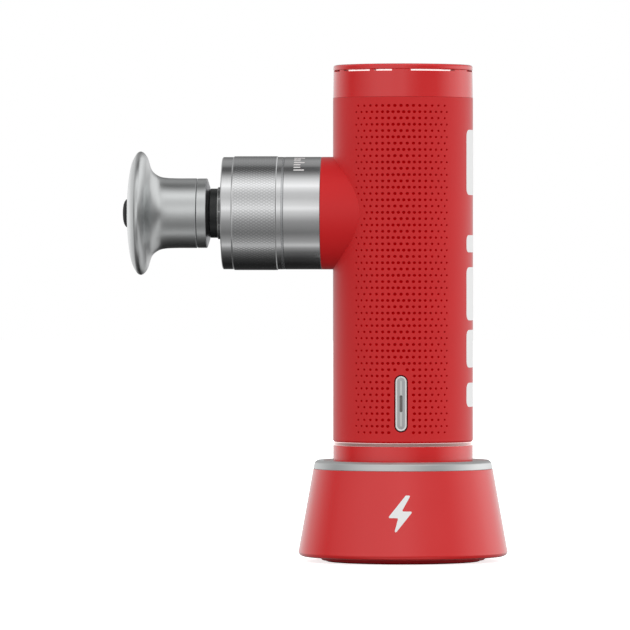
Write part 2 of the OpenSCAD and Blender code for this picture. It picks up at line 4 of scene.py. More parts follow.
import bmesh
import bpy
import numpy as np
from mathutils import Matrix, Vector


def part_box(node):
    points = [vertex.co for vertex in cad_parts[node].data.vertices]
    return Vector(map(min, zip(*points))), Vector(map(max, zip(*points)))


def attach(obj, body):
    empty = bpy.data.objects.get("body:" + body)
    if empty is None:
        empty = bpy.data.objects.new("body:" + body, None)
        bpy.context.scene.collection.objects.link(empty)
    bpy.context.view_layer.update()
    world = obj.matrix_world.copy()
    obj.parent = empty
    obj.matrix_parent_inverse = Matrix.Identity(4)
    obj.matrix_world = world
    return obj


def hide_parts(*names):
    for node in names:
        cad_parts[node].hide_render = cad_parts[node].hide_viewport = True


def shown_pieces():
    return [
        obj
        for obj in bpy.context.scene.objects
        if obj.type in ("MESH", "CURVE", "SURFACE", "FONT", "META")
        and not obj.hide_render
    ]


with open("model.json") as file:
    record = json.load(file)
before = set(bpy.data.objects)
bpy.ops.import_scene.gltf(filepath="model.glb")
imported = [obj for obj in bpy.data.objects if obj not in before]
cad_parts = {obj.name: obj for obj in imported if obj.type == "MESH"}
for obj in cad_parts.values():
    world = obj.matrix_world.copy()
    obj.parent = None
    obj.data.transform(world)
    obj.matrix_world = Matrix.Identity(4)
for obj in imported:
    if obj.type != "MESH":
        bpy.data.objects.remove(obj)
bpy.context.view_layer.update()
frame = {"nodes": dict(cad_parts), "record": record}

MM = 0.001
SHARP = 35.0


def mid(node, axis):
    lo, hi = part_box(node)
    return (lo[axis] + hi[axis]) / 2 / MM


ZN = mid("speed_ring", 2)      # height of the nozzle axis
KEY_Z = mid("mode_key", 2)     # height of the middle of the key
BODY_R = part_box("main_housing")[1].x / MM
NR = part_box("barrel")[1].y / MM            # nozzle radius
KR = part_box("speed_ring")[1].y / MM        # speed ring radius over its knurl
NE = -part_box("nose_ring")[0].x / MM        # how far out the nose and the shaft seal reach
SE = -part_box("shaft_seal")[0].x / MM
RB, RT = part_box("accent_ring")[0].z / MM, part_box("accent_ring")[1].z / MM   # accent ring, bottom and top
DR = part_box("dock_shell")[1].x / MM        # dock radius at its foot
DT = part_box("dock_trim_ring")[1].x / MM + 0.05   # dock radius under its rim

# ------------------------------------------------------------------ profiles


def fillet(pts, n=4):
    """A closed outline of (r, h) or (r, h, radius) points, with its radiused corners turned into arcs."""
    out = []
    m = len(pts)
    for i, p in enumerate(pts):
        rad = p[2] if len(p) > 2 else 0
        P = np.array(p[:2], float)
        if rad <= 0:
            out.append((P[0], P[1]))
            continue
        u = np.array(pts[i - 1][:2], float) - P
        v = np.array(pts[(i + 1) % m][:2], float) - P
        lu, lv = np.linalg.norm(u), np.linalg.norm(v)
        u, v = u / lu, v / lv
        ang = math.acos(np.clip(u @ v, -1, 1))
        t = min(rad / math.tan(ang / 2), 0.48 * lu, 0.48 * lv)
        R = t * math.tan(ang / 2)
        c = P + (u + v) / np.linalg.norm(u + v) * (R / math.sin(ang / 2))
        a0, a1 = P + u * t - c, P + v * t - c
        s0, s1 = math.atan2(a0[1], a0[0]), math.atan2(a1[1], a1[0])
        d = (s1 - s0 + math.pi) % (2 * math.pi) - math.pi
        for k in range(n + 1):
            s = s0 + d * k / n
            out.append((c[0] + R * math.cos(s), c[1] + R * math.sin(s)))
    return out


def spline(pts, n=5):
    """Points on a smooth curve through pts (centripetal Catmull-Rom), ends included."""
    P = [np.array(p, float) for p in pts]
    P = [2 * P[0] - P[1]] + P + [2 * P[-1] - P[-2]]
    out = []
    for i in range(1, len(P) - 2):
        p0, p1, p2, p3 = P[i - 1:i + 3]
        t0 = 0.0
        t1 = t0 + np.linalg.norm(p1 - p0) ** 0.5
        t2 = t1 + np.linalg.norm(p2 - p1) ** 0.5
        t3 = t2 + np.linalg.norm(p3 - p2) ** 0.5
        for k in range(n):
            t = t1 + (t2 - t1) * k / n
            a1 = (t1 - t) / (t1 - t0) * p0 + (t - t0) / (t1 - t0) * p1
            a2 = (t2 - t) / (t2 - t1) * p1 + (t - t1) / (t2 - t1) * p2
            a3 = (t3 - t) / (t3 - t2) * p2 + (t - t2) / (t3 - t2) * p3
            b1 = (t2 - t) / (t2 - t0) * a1 + (t - t0) / (t2 - t0) * a2
            b2 = (t3 - t) / (t3 - t1) * a2 + (t - t1) / (t3 - t1) * a3
            out.append(tuple((t2 - t) / (t2 - t1) * b1 + (t - t1) / (t2 - t1) * b2))
    out.append(tuple(P[-2]))
    return out


def clean(pts):
    out = []
    for p in pts:
        if not out or math.hypot(p[0] - out[-1][0], p[1] - out[-1][1]) > 1e-5:
            out.append((float(p[0]), float(p[1])))
    if math.hypot(out[0][0] - out[-1][0], out[0][1] - out[-1][1]) <= 1e-5:
        out.pop()
    return out


def edges_of(pts, flip=False):
    """Edge ends and the analytic normals at both ends of every edge of a closed outline."""
    P = np.array(pts, float)
    if flip:
        P = P[::-1]
    Q = np.roll(P, -1, 0)
    d = Q - P
    L = np.hypot(d[:, 0], d[:, 1])
    en = np.stack([d[:, 1], -d[:, 0]], 1) / L[:, None]
    n = len(P)
    na, nb = en.copy(), en.copy()
    for i in range(n):
        a, b = en[i - 1], en[i]
        if a @ b > math.cos(math.radians(SHARP)):
            m = a * min(L[i - 1], 4 * L[i] + 1) + b * min(L[i], 4 * L[i - 1] + 1)
            m = a * L[i - 1] + b * L[i] if max(L[i - 1], L[i]) > 6 * min(L[i - 1], L[i]) else m
            m = m / np.linalg.norm(m)
            nb[i - 1] = m
            na[i] = m
    return P, Q, na, nb, en


def world_of(ax, r, a, h):
    """mm coordinates of radius r, angle a, height h in the upright frame Z or the nozzle frame N."""
    if ax == "Z":
        return np.stack([r * np.cos(a), r * np.sin(a), h], -1)
    return np.stack([-h, r * np.sin(a), ZN + r * np.cos(a)], -1)


def dir_of(ax, nr, a, nh):
    if ax == "Z":
        return np.stack([nr * np.cos(a), nr * np.sin(a), nh], -1)
    return np.stack([-nh, nr * np.sin(a), nr * np.cos(a)], -1)


SURFACES = {}


def new_object(name, me):
    ob = bpy.data.objects.new(name, me)
    bpy.context.scene.collection.objects.link(ob)
    return ob


def lathe(name, prof, ax="Z", seg=192, n=4, phase=0.0):
    """A closed turned solid with exact smooth normals."""
    pts = clean(fillet(prof, n))
    P, Q, na, nb, _ = edges_of(pts)
    ang = phase + np.arange(seg) * 2 * np.pi / seg
    V, first, pole = [], [], []
    count = 0
    for r, h in pts:
        first.append(count)
        if r < 1e-6:
            V.append(world_of(ax, np.zeros(1), np.zeros(1), np.full(1, h)))
            pole.append(True)
            count += 1
        else:
            V.append(world_of(ax, np.full(seg, r), ang, np.full(seg, h)))
            pole.append(False)
            count += seg
    V = np.concatenate(V)
    F, NL = [], []
    m = len(pts)
    for i in range(m):
        k = (i + 1) % m
        if pole[i] and pole[k]:
            continue
        j = np.arange(seg)
        j2 = (j + 1) % seg
        A = dir_of(ax, np.full(seg, na[i][0]), ang, np.full(seg, na[i][1]))
        B = dir_of(ax, np.full(seg, nb[i][0]), ang, np.full(seg, nb[i][1]))
        if pole[i]:
            F += [(first[i], int(first[k] + b), int(first[k] + a)) for a, b in zip(j, j2)]
            top = dir_of(ax, np.zeros(seg), ang, np.full(seg, math.copysign(1, na[i][1])))
            NL.append(np.stack([top, B[j2], B[j]], 1).reshape(-1, 3))
        elif pole[k]:
            F += [(int(first[i] + a), int(first[i] + b), first[k]) for a, b in zip(j, j2)]
            top = dir_of(ax, np.zeros(seg), ang, np.full(seg, math.copysign(1, nb[i][1])))
            NL.append(np.stack([A[j], A[j2], top], 1).reshape(-1, 3))
        else:
            F += [(int(first[i] + a), int(first[i] + b), int(first[k] + b), int(first[k] + a)) for a, b in zip(j, j2)]
            NL.append(np.stack([A[j], A[j2], B[j2], B[j]], 1).reshape(-1, 3))
    me = bpy.data.meshes.new(name)
    me.from_pydata((V * MM).tolist(), [], F)
    me.update()
    me.polygons.foreach_set("use_smooth", [True] * len(me.polygons))
    me.normals_split_custom_set(np.concatenate(NL).tolist())
    ob = new_object(name, me)
    SURFACES[name] = [(ax, pts, False)]
    return ob


# ------------------------------------------------------------- plain solids


def joined(parts):
    V, F, base = [], [], 0
    for v, f in parts:
        v = np.array(v, float)
        V.append(v)
        F += [tuple(int(i) + base for i in face) for face in f]
        base += len(v)
    return np.concatenate(V), F


def extruded(outline, place, a, b):
    """A closed prism: outline is 2D and counter-clockwise seen from the b side, place(u, v, w) gives mm coordinates."""
    n = len(outline)
    V = [place(u, v, a) for u, v in outline] + [place(u, v, b) for u, v in outline]
    F = [tuple(reversed(range(n))), tuple(range(n, 2 * n))]
    F += [(i, (i + 1) % n, n + (i + 1) % n, n + i) for i in range(n)]
    return np.array(V, float), F


def box_at(x0, x1, y0, y1, z0, z1):
    return extruded([(x0, y0), (x1, y0), (x1, y1), (x0, y1)], lambda u, v, w: (u, v, w), z0, z1)


def circle(r, seg, cx=0.0, cy=0.0):
    return [(cx + r * math.cos(2 * math.pi * k / seg), cy + r * math.sin(2 * math.pi * k / seg)) for k in range(seg)]


def post(cx, cy, r, z0, z1, seg=32):
    return extruded(circle(r, seg, cx, cy), lambda u, v, w: (u, v, w), z0, z1)


def along_y(outline, y0, y1):
    """Prism with its outline in x, z, running along Y."""
    return extruded(outline, lambda u, v, w: (u, -w, v), -y1, -y0)


def stadium(w, h, cz, n=10, cx=0.0):
    r = w / 2
    s = h / 2 - r
    out = [(cx + r * math.cos(a), cz + s + r * math.sin(a)) for a in np.linspace(0, math.pi, n + 1)]
    out += [(cx + r * math.cos(a), cz - s + r * math.sin(a)) for a in np.linspace(math.pi, 2 * math.pi, n + 1)]
    return out


def flat_stadium(w, h, cz, n=10):
    """Stadium lying along x."""
    r = h / 2
    s = w / 2 - r
    out = [(s + r * math.cos(a), cz + r * math.sin(a)) for a in np.linspace(-math.pi / 2, math.pi / 2, n + 1)]
    out += [(-s + r * math.cos(a), cz + r * math.sin(a)) for a in np.linspace(math.pi / 2, 3 * math.pi / 2, n + 1)]
    return out


def solid(name, part, sharp=SHARP):
    V, F = part
    me = bpy.data.meshes.new(name)
    me.from_pydata((V * MM).tolist(), [], F)
    me.update()
    ob = new_object(name, me)
    SURFACES[name] = []
    shade(ob, sharp)
    return ob


def outward(part):
    """Flips a part's faces if they point inwards."""
    V, F = part
    vol = 0.0
    for f in F:
        for k in range(1, len(f) - 1):
            vol += np.dot(V[f[0]], np.cross(V[f[k]], V[f[k + 1]]))
    return (V, F) if vol > 0 else (V, [tuple(reversed(f)) for f in F])


def boolean(ob, other, op="DIFFERENCE"):
    """other is an object or a part. The result replaces ob's mesh."""
    made = None
    if not isinstance(other, bpy.types.Object):
        V, F = other
        me = bpy.data.meshes.new("cutter")
        me.from_pydata((V * MM).tolist(), [], F)
        me.update()
        other = made = new_object("cutter", me)
    m = ob.modifiers.new("b", "BOOLEAN")
    m.object = other
    m.operation = op
    before = len(ob.data.polygons)
    m.solver = "MANIFOLD"
    dg = bpy.context.evaluated_depsgraph_get()
    me = bpy.data.meshes.new_from_object(ob.evaluated_get(dg))
    if len(me.polygons) == 0 or (len(me.polygons) == before and op == "DIFFERENCE"):
        print("NOTE boolean fell back to exact for", ob.name)
        m.solver = "EXACT"
        dg = bpy.context.evaluated_depsgraph_get()
        me = bpy.data.meshes.new_from_object(ob.evaluated_get(dg))
    ob.modifiers.clear()
    old = ob.data
    ob.data = me
    bpy.data.meshes.remove(old)
    me.name = ob.name
    if op == "UNION" and other.name in SURFACES:
        SURFACES[ob.name] += SURFACES[other.name]
    if op == "DIFFERENCE" and other.name in SURFACES:
        SURFACES[ob.name] += [(ax, pts, not fl) for ax, pts, fl in SURFACES[other.name]]
    gone = other.data
    bpy.data.objects.remove(other)
    bpy.data.meshes.remove(gone)
    return ob


def shade(ob, sharp=SHARP):
    """Smooth shading with hard edges over the angle; turned surfaces get their exact normals back."""
    me = ob.data
    bm = bmesh.new()
    bm.from_mesh(me)
    bmesh.ops.remove_doubles(bm, verts=bm.verts, dist=2e-7)
    bmesh.ops.dissolve_degenerate(bm, edges=bm.edges, dist=1e-7)
    for f in bm.faces:
        f.smooth = True
    lim = math.radians(sharp)
    for e in bm.edges:
        e.smooth = len(e.link_faces) == 2 and e.calc_face_angle(0) < lim
    bm.to_mesh(me)
    bm.free()
    for a in ("custom_normal",):
        if a in me.attributes:
            me.attributes.remove(me.attributes[a])
    me.update()
    surfaces = SURFACES.get(ob.name) or []
    if not surfaces:
        return ob
    nl = len(me.loops)
    cn = np.zeros(nl * 3, np.float32)
    me.corner_normals.foreach_get("vector", cn)
    cn = cn.reshape(-1, 3).astype(float)
    vi = np.zeros(nl, np.int32)
    me.loops.foreach_get("vertex_index", vi)
    co = np.zeros(len(me.vertices) * 3, np.float32)
    me.vertices.foreach_get("co", co)
    co = co.reshape(-1, 3)[vi].astype(float) / MM
    tot = np.zeros(len(me.polygons), np.int32)
    me.polygons.foreach_get("loop_total", tot)
    pn = np.zeros(len(me.polygons) * 3, np.float32)
    me.polygons.foreach_get("normal", pn)
    fn = np.repeat(pn.reshape(-1, 3).astype(float), tot, axis=0)
    best = np.full(nl, 0.012)
    for ax, pts, flip in surfaces:
        P, Q, na, nb, en = edges_of(pts, flip)
        if ax == "Z":
            r = np.hypot(co[:, 0], co[:, 1])
            h = co[:, 2]
            er = np.stack([co[:, 0], co[:, 1], 0 * r], 1) / np.maximum(r, 1e-9)[:, None]
            eh = np.array([0.0, 0.0, 1.0])
        else:
            r = np.hypot(co[:, 1], co[:, 2] - ZN)
            h = -co[:, 0]
            er = np.stack([0 * r, co[:, 1], co[:, 2] - ZN], 1) / np.maximum(r, 1e-9)[:, None]
            eh = np.array([-1.0, 0.0, 0.0])
        fr = np.einsum("ij,ij->i", fn, er)
        fh = fn @ eh
        for i in range(len(P)):
            d = Q[i] - P[i]
            L2 = d @ d
            if L2 < 1e-12:
                continue
            t = np.clip(((r - P[i][0]) * d[0] + (h - P[i][1]) * d[1]) / L2, 0, 1)
            dist = np.hypot(r - P[i][0] - t * d[0], h - P[i][1] - t * d[1])
            ok = (dist < best) & (fr * en[i][0] + fh * en[i][1] > 0.975)
            if not ok.any():
                continue
            nn = na[i][None] * (1 - t[ok])[:, None] + nb[i][None] * t[ok][:, None]
            w = er[ok] * nn[:, :1] + eh[None] * nn[:, 1:]
            cn[ok] = w / np.linalg.norm(w, axis=1)[:, None]
            best[ok] = dist[ok]
    me.normals_split_custom_set(cn.tolist())
    return ob


def tidy(ob, default):
    """Faces that a boolean left without a material take the first one, or the default."""
    me = ob.data
    mats = list(me.materials)
    keep = [m for m in mats if m is not None] or [default]
    new = {i: (keep.index(m) if m is not None else 0) for i, m in enumerate(mats)}
    idx = np.zeros(len(me.polygons), np.int32)
    me.polygons.foreach_get("material_index", idx)
    idx = np.array([new.get(int(i), 0) for i in range(max(1, len(mats)))], np.int32)[np.minimum(idx, max(0, len(mats) - 1))]
    me.materials.clear()
    for m in keep:
        me.materials.append(m)
    me.polygons.foreach_set("material_index", idx)


def stand(ob, body, slot, *nodes):
    """ob rides on a body, takes a slot's material and stands for the CAD nodes; its box is compared with theirs."""
    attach(ob, body)
    if nodes:
        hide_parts(*nodes)
        lo = Vector((1e9,) * 3)
        hi = Vector((-1e9,) * 3)
        for nd in nodes:
            a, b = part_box(nd)
            lo = Vector(map(min, lo, a))
            hi = Vector(map(max, hi, b))
        co = np.array([v.co for v in ob.data.vertices])
        off = max(abs(co.min(0) - np.array(lo)).max(), abs(co.max(0) - np.array(hi)).max())
        if off > 0.00012:
            print("NOTE", ob.name, "differs from its CAD box by mm", round(off / MM, 3))
    tidy(ob, MATS[slot] if slot else WHITE)
    return ob


# ---------------------------------------------------------------- materials


class Tree:
    def __init__(self, tree):
        self.t = tree
        tree.nodes.clear()

    def n(self, kind, ins=None, **props):
        node = self.t.nodes.new(kind)
        for k, v in props.items():
            setattr(node, k, v)
        for k, v in (ins or {}).items():
            self.put(node.inputs[k], v)
        return node

    def put(self, sock, v):
        if isinstance(v, bpy.types.NodeSocket):
            self.t.links.new(v, sock)
        elif isinstance(v, bpy.types.Node):
            self.t.links.new(v.outputs[0], sock)
        else:
            sock.default_value = v

    def m(self, op, a, b=None, c=None, clamp=False):
        node = self.t.nodes.new("ShaderNodeMath")
        node.operation = op
        node.use_clamp = clamp
        self.put(node.inputs[0], a)
        if b is not None:
            self.put(node.inputs[1], b)
        if c is not None:
            self.put(node.inputs[2], c)
        return node.outputs[0]

    def ramp(self, fac, stops, mode="LINEAR"):
        node = self.t.nodes.new("ShaderNodeValToRGB")
        cr = node.color_ramp
        cr.interpolation = mode
        while len(cr.elements) < len(stops):
            cr.elements.new(0.5)
        for e, (p, v) in zip(cr.elements, stops):
            e.position = p
            e.color = (*v, 1) if isinstance(v, (tuple, list)) else (v, v, v, 1)
        self.put(node.inputs[0], fac)
        return node.outputs[0]

    def mix(self, fac, a, b, kind="RGBA", blend="MIX"):
        node = self.t.nodes.new("ShaderNodeMix")
        node.data_type = kind
        ia, ib, io = (6, 7, 2) if kind == "RGBA" else (2, 3, 0)
        if kind == "RGBA":
            node.blend_type = blend
        self.put(node.inputs[0], fac)
        self.put(node.inputs[ia], a)
        self.put(node.inputs[ib], b)
        return node.outputs[io]

    def noise(self, vec, scale, detail=2.0, rough=0.5, dims="3D"):
        node = self.n("ShaderNodeTexNoise", {"Vector": vec, "Scale": scale, "Detail": detail, "Roughness": rough}, noise_dimensions=dims)
        return node.outputs[0]


def rgb(c):
    return (c[0], c[1], c[2], 1.0)


def scaled(c, k):
    return (min(1, c[0] * k), min(1, c[1] * k), min(1, c[2] * k), 1.0)


def surface(name, col, rough, metal=0.0, kind="grain", freq=6.0, bump=2e-6, colvar=0.04, roughvar=0.04, spec=0.5,
            coat=0.0, painted_sheen=0.0, pattern=None, aniso=0.0, emit=0.0, sheen=0.0, trans=0.0, tint2=None, freq2=0.06, ior=1.5, glow=0.0):
    """A procedural finish in the object's own coordinates, in mm, with optional painted light: a painted sheen that
    pales the colour at grazing angles, and glow and emit, which make the surface glow. kind: grain, turnX, turnZ,
    brushZ.
    """
    mat = bpy.data.materials.new(name)
    mat.use_nodes = True
    T = Tree(mat.node_tree)
    out = T.n("ShaderNodeOutputMaterial")
    bs = T.n("ShaderNodeBsdfPrincipled")
    T.put(out.inputs["Surface"], bs.outputs[0])
    tc = T.n("ShaderNodeTexCoord")
    mm = T.n("ShaderNodeVectorMath", {0: tc.outputs["Object"], 1: (1000, 1000, 1000)}, operation="MULTIPLY").outputs[0]
    sp = T.n("ShaderNodeSeparateXYZ", {0: mm})
    x, y, z = sp.outputs
    if kind == "turnX":
        zr = T.m("SUBTRACT", z, ZN)
        rad = T.m("SQRT", T.m("ADD", T.m("MULTIPLY", y, y), T.m("MULTIPLY", zr, zr)))
        a = T.m("ADD", x, T.m("MULTIPLY", rad, 0.73))
        vec = T.n("ShaderNodeCombineXYZ", {0: T.m("MULTIPLY", a, freq), 1: T.m("MULTIPLY", y, 0.11), 2: T.m("MULTIPLY", zr, 0.11)}).outputs[0]
    elif kind == "turnZ":
        rad = T.m("SQRT", T.m("ADD", T.m("MULTIPLY", x, x), T.m("MULTIPLY", y, y)))
        a = T.m("ADD", z, T.m("MULTIPLY", rad, 0.73))
        vec = T.n("ShaderNodeCombineXYZ", {0: T.m("MULTIPLY", x, 0.11), 1: T.m("MULTIPLY", y, 0.11), 2: T.m("MULTIPLY", a, freq)}).outputs[0]
    elif kind == "brushZ":
        vec = T.n("ShaderNodeVectorMath", {0: mm, 1: (freq, freq, freq * 0.04)}, operation="MULTIPLY").outputs[0]
    else:
        vec = T.n("ShaderNodeVectorMath", {0: mm, 1: (freq, freq, freq)}, operation="MULTIPLY").outputs[0]
    fine = T.noise(vec, 1.0, 3.0, 0.6)
    wide = T.noise(mm, freq2, 2.0, 0.5)
    tone = T.m("ADD", T.m("MULTIPLY", fine, 0.6), T.m("MULTIPLY", wide, 0.4))
    c1 = scaled(col, 1 - colvar * 1.6)
    c2 = scaled(tint2 or col, 1 + colvar * 1.6)
    tone = T.n("ShaderNodeMapRange", {0: tone, 1: 0.3, 2: 0.7}).outputs[0]
    colour = T.mix(tone, c1, c2)
    height = fine
    if pattern:
        colour, height, bump = pattern(T, mm, (x, y, z), colour, fine, bump)
    if painted_sheen:      # painted sheen: the colour is paled where the surface turns away
        lw = T.n("ShaderNodeLayerWeight", {"Blend": 0.5})
        colour = T.mix(T.m("MULTIPLY", T.m("POWER", lw.outputs["Facing"], 6.0), painted_sheen), colour, (0.54, 0.50, 0.50, 1))
    T.put(bs.inputs["Base Color"], colour)
    T.put(bs.inputs["Metallic"], metal)
    rr = T.n("ShaderNodeMapRange", {0: T.m("ADD", T.m("MULTIPLY", fine, 0.5), T.m("MULTIPLY", wide, 0.5)), 1: 0.3, 2: 0.7, 3: max(0.02, rough - roughvar), 4: rough + roughvar}).outputs[0]
    T.put(bs.inputs["Roughness"], rr)
    T.put(bs.inputs["Specular IOR Level"], spec)
    T.put(bs.inputs["IOR"], ior)
    if coat:
        T.put(bs.inputs["Coat Weight"], coat)
        T.put(bs.inputs["Coat Roughness"], 0.12)
    if sheen:
        T.put(bs.inputs["Sheen Weight"], sheen)
    if aniso:
        tg = T.n("ShaderNodeTangent", direction_type="RADIAL", axis="X" if kind == "turnX" else "Z")
        T.put(bs.inputs["Anisotropic"], aniso)
        T.put(bs.inputs["Tangent"], tg.outputs[0])
    if glow:      # painted highlight: a glow where the surface turns away
        lw = T.n("ShaderNodeLayerWeight", {"Blend": 0.5})
        T.put(bs.inputs["Emission Color"], (1.0, 0.86, 0.85, 1))
        T.put(bs.inputs["Emission Strength"], T.m("MULTIPLY", T.m("POWER", lw.outputs["Facing"], 4.0), glow))
    # emission in the surface's own colour: a painted glow
    if emit:
        T.put(bs.inputs["Emission Color"], colour)
        T.put(bs.inputs["Emission Strength"], emit)
    if trans:
        T.put(bs.inputs["Transmission Weight"], trans)
    if bump:
        b = T.n("ShaderNodeBump", {"Height": height, "Distance": bump, "Strength": 1.0})
        T.put(bs.inputs["Normal"], b.outputs[0])
    mat.diffuse_color = rgb(col)
    return mat


def pcb_pattern(T, mm, xyz, colour, fine, bump):
    br = T.n("ShaderNodeTexBrick", {"Vector": mm, "Color1": (0.02, 0.16, 0.07, 1), "Color2": (0.015, 0.12, 0.05, 1), "Mortar": (0.10, 0.42, 0.20, 1),
                                    "Scale": 0.55, "Mortar Size": 0.045, "Brick Width": 1.7, "Row Height": 0.6})
    vo = T.n("ShaderNodeTexVoronoi", {"Vector": mm, "Scale": 0.9})
    via = T.m("LESS_THAN", vo.outputs["Distance"], 0.13)
    col = T.mix(via, br.outputs["Color"], (0.75, 0.55, 0.22, 1))
    return col, br.outputs["Fac"], 2e-5


def coil_pattern(T, mm, xyz, colour, fine, bump):
    x, y, z = xyz
    w = T.m("ABSOLUTE", T.m("SINE", T.m("MULTIPLY", T.m("ADD", z, T.m("MULTIPLY", T.m("ADD", x, y), 0.35)), 7.5)))
    col = T.mix(T.m("MULTIPLY", w, 0.75), (0.20, 0.055, 0.02, 1), colour)
    return col, w, 1.2e-4


def sheet_pattern(T, mm, xyz, colour, fine, bump):
    w = T.m("ABSOLUTE", T.m("SINE", T.m("MULTIPLY", xyz[2], 6.3)))
    col = T.mix(T.m("MULTIPLY", w, 0.6), (0.05, 0.05, 0.055, 1), colour)
    return col, w, 5e-5


def wrap_pattern(T, mm, xyz, colour, fine, bump):
    x, y, z = xyz
    band = T.m("GREATER_THAN", T.m("SINE", T.m("MULTIPLY", z, 0.38)), 0.93)
    col = T.mix(band, colour, (0.72, 0.74, 0.76, 1))
    return col, fine, 6e-6


def felt_pattern(T, mm, xyz, colour, fine, bump):
    v = T.n("ShaderNodeVectorMath", {0: mm, 1: (3.0, 3.0, 0.8)}, operation="MULTIPLY").outputs[0]
    f = T.noise(v, 1.0, 5.0, 0.7)
    col = T.mix(f, (0.62, 0.60, 0.58, 1), colour)
    return col, f, 2e-4


def groove_pattern(T, mm, xyz, colour, fine, bump):
    """Fine turned grooves along the nozzle axis."""
    w = T.m("SINE", T.m("MULTIPLY", xyz[0], 14.0))
    h = T.m("ADD", T.m("MULTIPLY", w, 0.35), fine)
    return colour, h, bump


def knurl_groove_shade(T, mm, xyz, colour, fine, bump):
    """Painted shade: the grooves between the diamonds of the knurled band are coloured darker."""
    x, y, z = xyz
    zr = T.m("SUBTRACT", z, ZN)
    u = T.m("MULTIPLY", T.m("ARCTAN2", y, zr), KNURL_N / (2 * math.pi))
    v = T.m("MULTIPLY", T.m("ADD", T.m("MULTIPLY", x, -1.0), -KNURL_H0), KNURL_M / (KNURL_H1 - KNURL_H0))
    ds = []
    for op in ("ADD", "SUBTRACT"):
        p = T.m("FRACT", T.m(op, u, v))
        ds.append(T.m("MINIMUM", p, T.m("SUBTRACT", 1.0, p)))
    d = T.m("MULTIPLY", T.m("MINIMUM", ds[0], ds[1]), 4.0)
    inside = T.m("MULTIPLY", T.m("GREATER_THAN", v, 0.0), T.m("LESS_THAN", v, float(KNURL_M)))
    groove = T.m("MULTIPLY", T.m("SUBTRACT", 1.0, T.m("MINIMUM", d, 1.0)), inside)
    col = T.mix(T.m("MULTIPLY", groove, 0.25), colour, (0.22, 0.225, 0.23, 1))
    return col, fine, bump


KNURL_N, KNURL_M, KNURL_H0, KNURL_H1 = 116, 8, 44.95, 59.85   # diamonds round and along, and the span in mm
RED = (0.585, 0.0125, 0.0145)
ALU = (0.78, 0.785, 0.79)
MATS = {
    # the reds are paled at grazing angles: painted sheen
    "red_grip": surface("red_grip", RED, 0.42, freq=9, bump=5e-6, colvar=0.03, roughvar=0.03, spec=0.27, painted_sheen=0.55),
    "red_satin": surface("red_satin", (0.632, 0.0085, 0.0100), 0.20, freq=7, bump=1.5e-6, colvar=0.02, roughvar=0.02, spec=0.82, painted_sheen=0.7),
    "red_dark": surface("red_dark", (0.30, 0.006, 0.009), 0.55, freq=5, bump=8e-6, colvar=0.05, spec=0.1),
    "silver_ring": surface("silver_ring", (0.76, 0.772, 0.77), 0.46, 1.0, kind="turnZ", freq=5, bump=6e-7, colvar=0.02, roughvar=0.03),
    "silver_collar": surface("silver_collar", ALU, 0.115, 1.0, kind="turnX", freq=7, bump=7e-7, colvar=0.02, roughvar=0.02),
    "silver_key": surface("silver_key", (0.80, 0.80, 0.79), 0.42, 0.3, kind="brushZ", freq=5, bump=1e-6, colvar=0.03, roughvar=0.04),
    "head_metal": surface("head_metal", (0.70, 0.715, 0.715), 0.3, 1.0, kind="turnX", freq=6, bump=1.0e-6, colvar=0.02, roughvar=0.03),
    "black_shaft": surface("black_shaft", (0.017, 0.019, 0.019), 0.34, 0.0, kind="turnX", freq=5, bump=3e-6, spec=0.5, pattern=groove_pattern),
    "black_rubber": surface("black_rubber", (0.022, 0.022, 0.023), 0.62, freq=7, bump=1.5e-5, colvar=0.12, roughvar=0.06, spec=0.4),
    "dark_plastic": surface("dark_plastic", (0.03, 0.031, 0.033), 0.48, freq=6, bump=1.0e-5, colvar=0.10),
    # the felt glows (emit): painted light behind the crown's windows
    "filter_felt": surface("filter_felt", (0.90, 0.87, 0.85), 0.9, freq=3, bump=2e-4, colvar=0.05, pattern=felt_pattern, emit=1.3, sheen=0.3),
    "light_guide": surface("light_guide", (0.15, 0.135, 0.125), 0.25, freq=3, bump=1e-6, colvar=0.05, coat=0.4),
    "steel": surface("steel", (0.60, 0.61, 0.62), 0.27, 1.0, freq=5, bump=2e-6, colvar=0.05),
    "die_cast": surface("die_cast", (0.42, 0.43, 0.45), 0.5, 1.0, freq=2.2, bump=2.5e-5, colvar=0.08, roughvar=0.08),
    "lamination": surface("lamination", (0.30, 0.31, 0.33), 0.38, 1.0, freq=4, pattern=sheet_pattern),
    "magnet": surface("magnet", (0.46, 0.46, 0.47), 0.3, 1.0, freq=3, bump=3e-6, colvar=0.06),
    "copper": surface("copper", (0.80, 0.34, 0.16), 0.32, 1.0, freq=4, pattern=coil_pattern),
    "bronze": surface("bronze", (0.62, 0.42, 0.20), 0.36, 1.0, freq=3, bump=8e-6, colvar=0.10, tint2=(0.58, 0.36, 0.15)),
    "gold_contact": surface("gold_contact", (0.86, 0.62, 0.27), 0.2, 1.0, kind="turnZ", freq=6, bump=8e-7, colvar=0.03),
    "pcb": surface("pcb", (0.02, 0.16, 0.07), 0.42, freq=4, pattern=pcb_pattern, coat=0.3),
    "cell_wrap": surface("cell_wrap", (0.03, 0.20, 0.36), 0.3, freq=3, colvar=0.06, pattern=wrap_pattern, coat=0.5),
    "lead_red": surface("lead_red", (0.52, 0.02, 0.02), 0.4, freq=5, bump=6e-6, colvar=0.06),
    "lead_yellow": surface("lead_yellow", (0.68, 0.46, 0.03), 0.4, freq=5, bump=6e-6, colvar=0.06),
}
# the knurled band: its grooves are darkened with painted shade
KNURLED = surface("silver_knurl", ALU, 0.15, 1.0, kind="turnX", freq=7, bump=7e-7, colvar=0.02, roughvar=0.02, pattern=knurl_groove_shade)
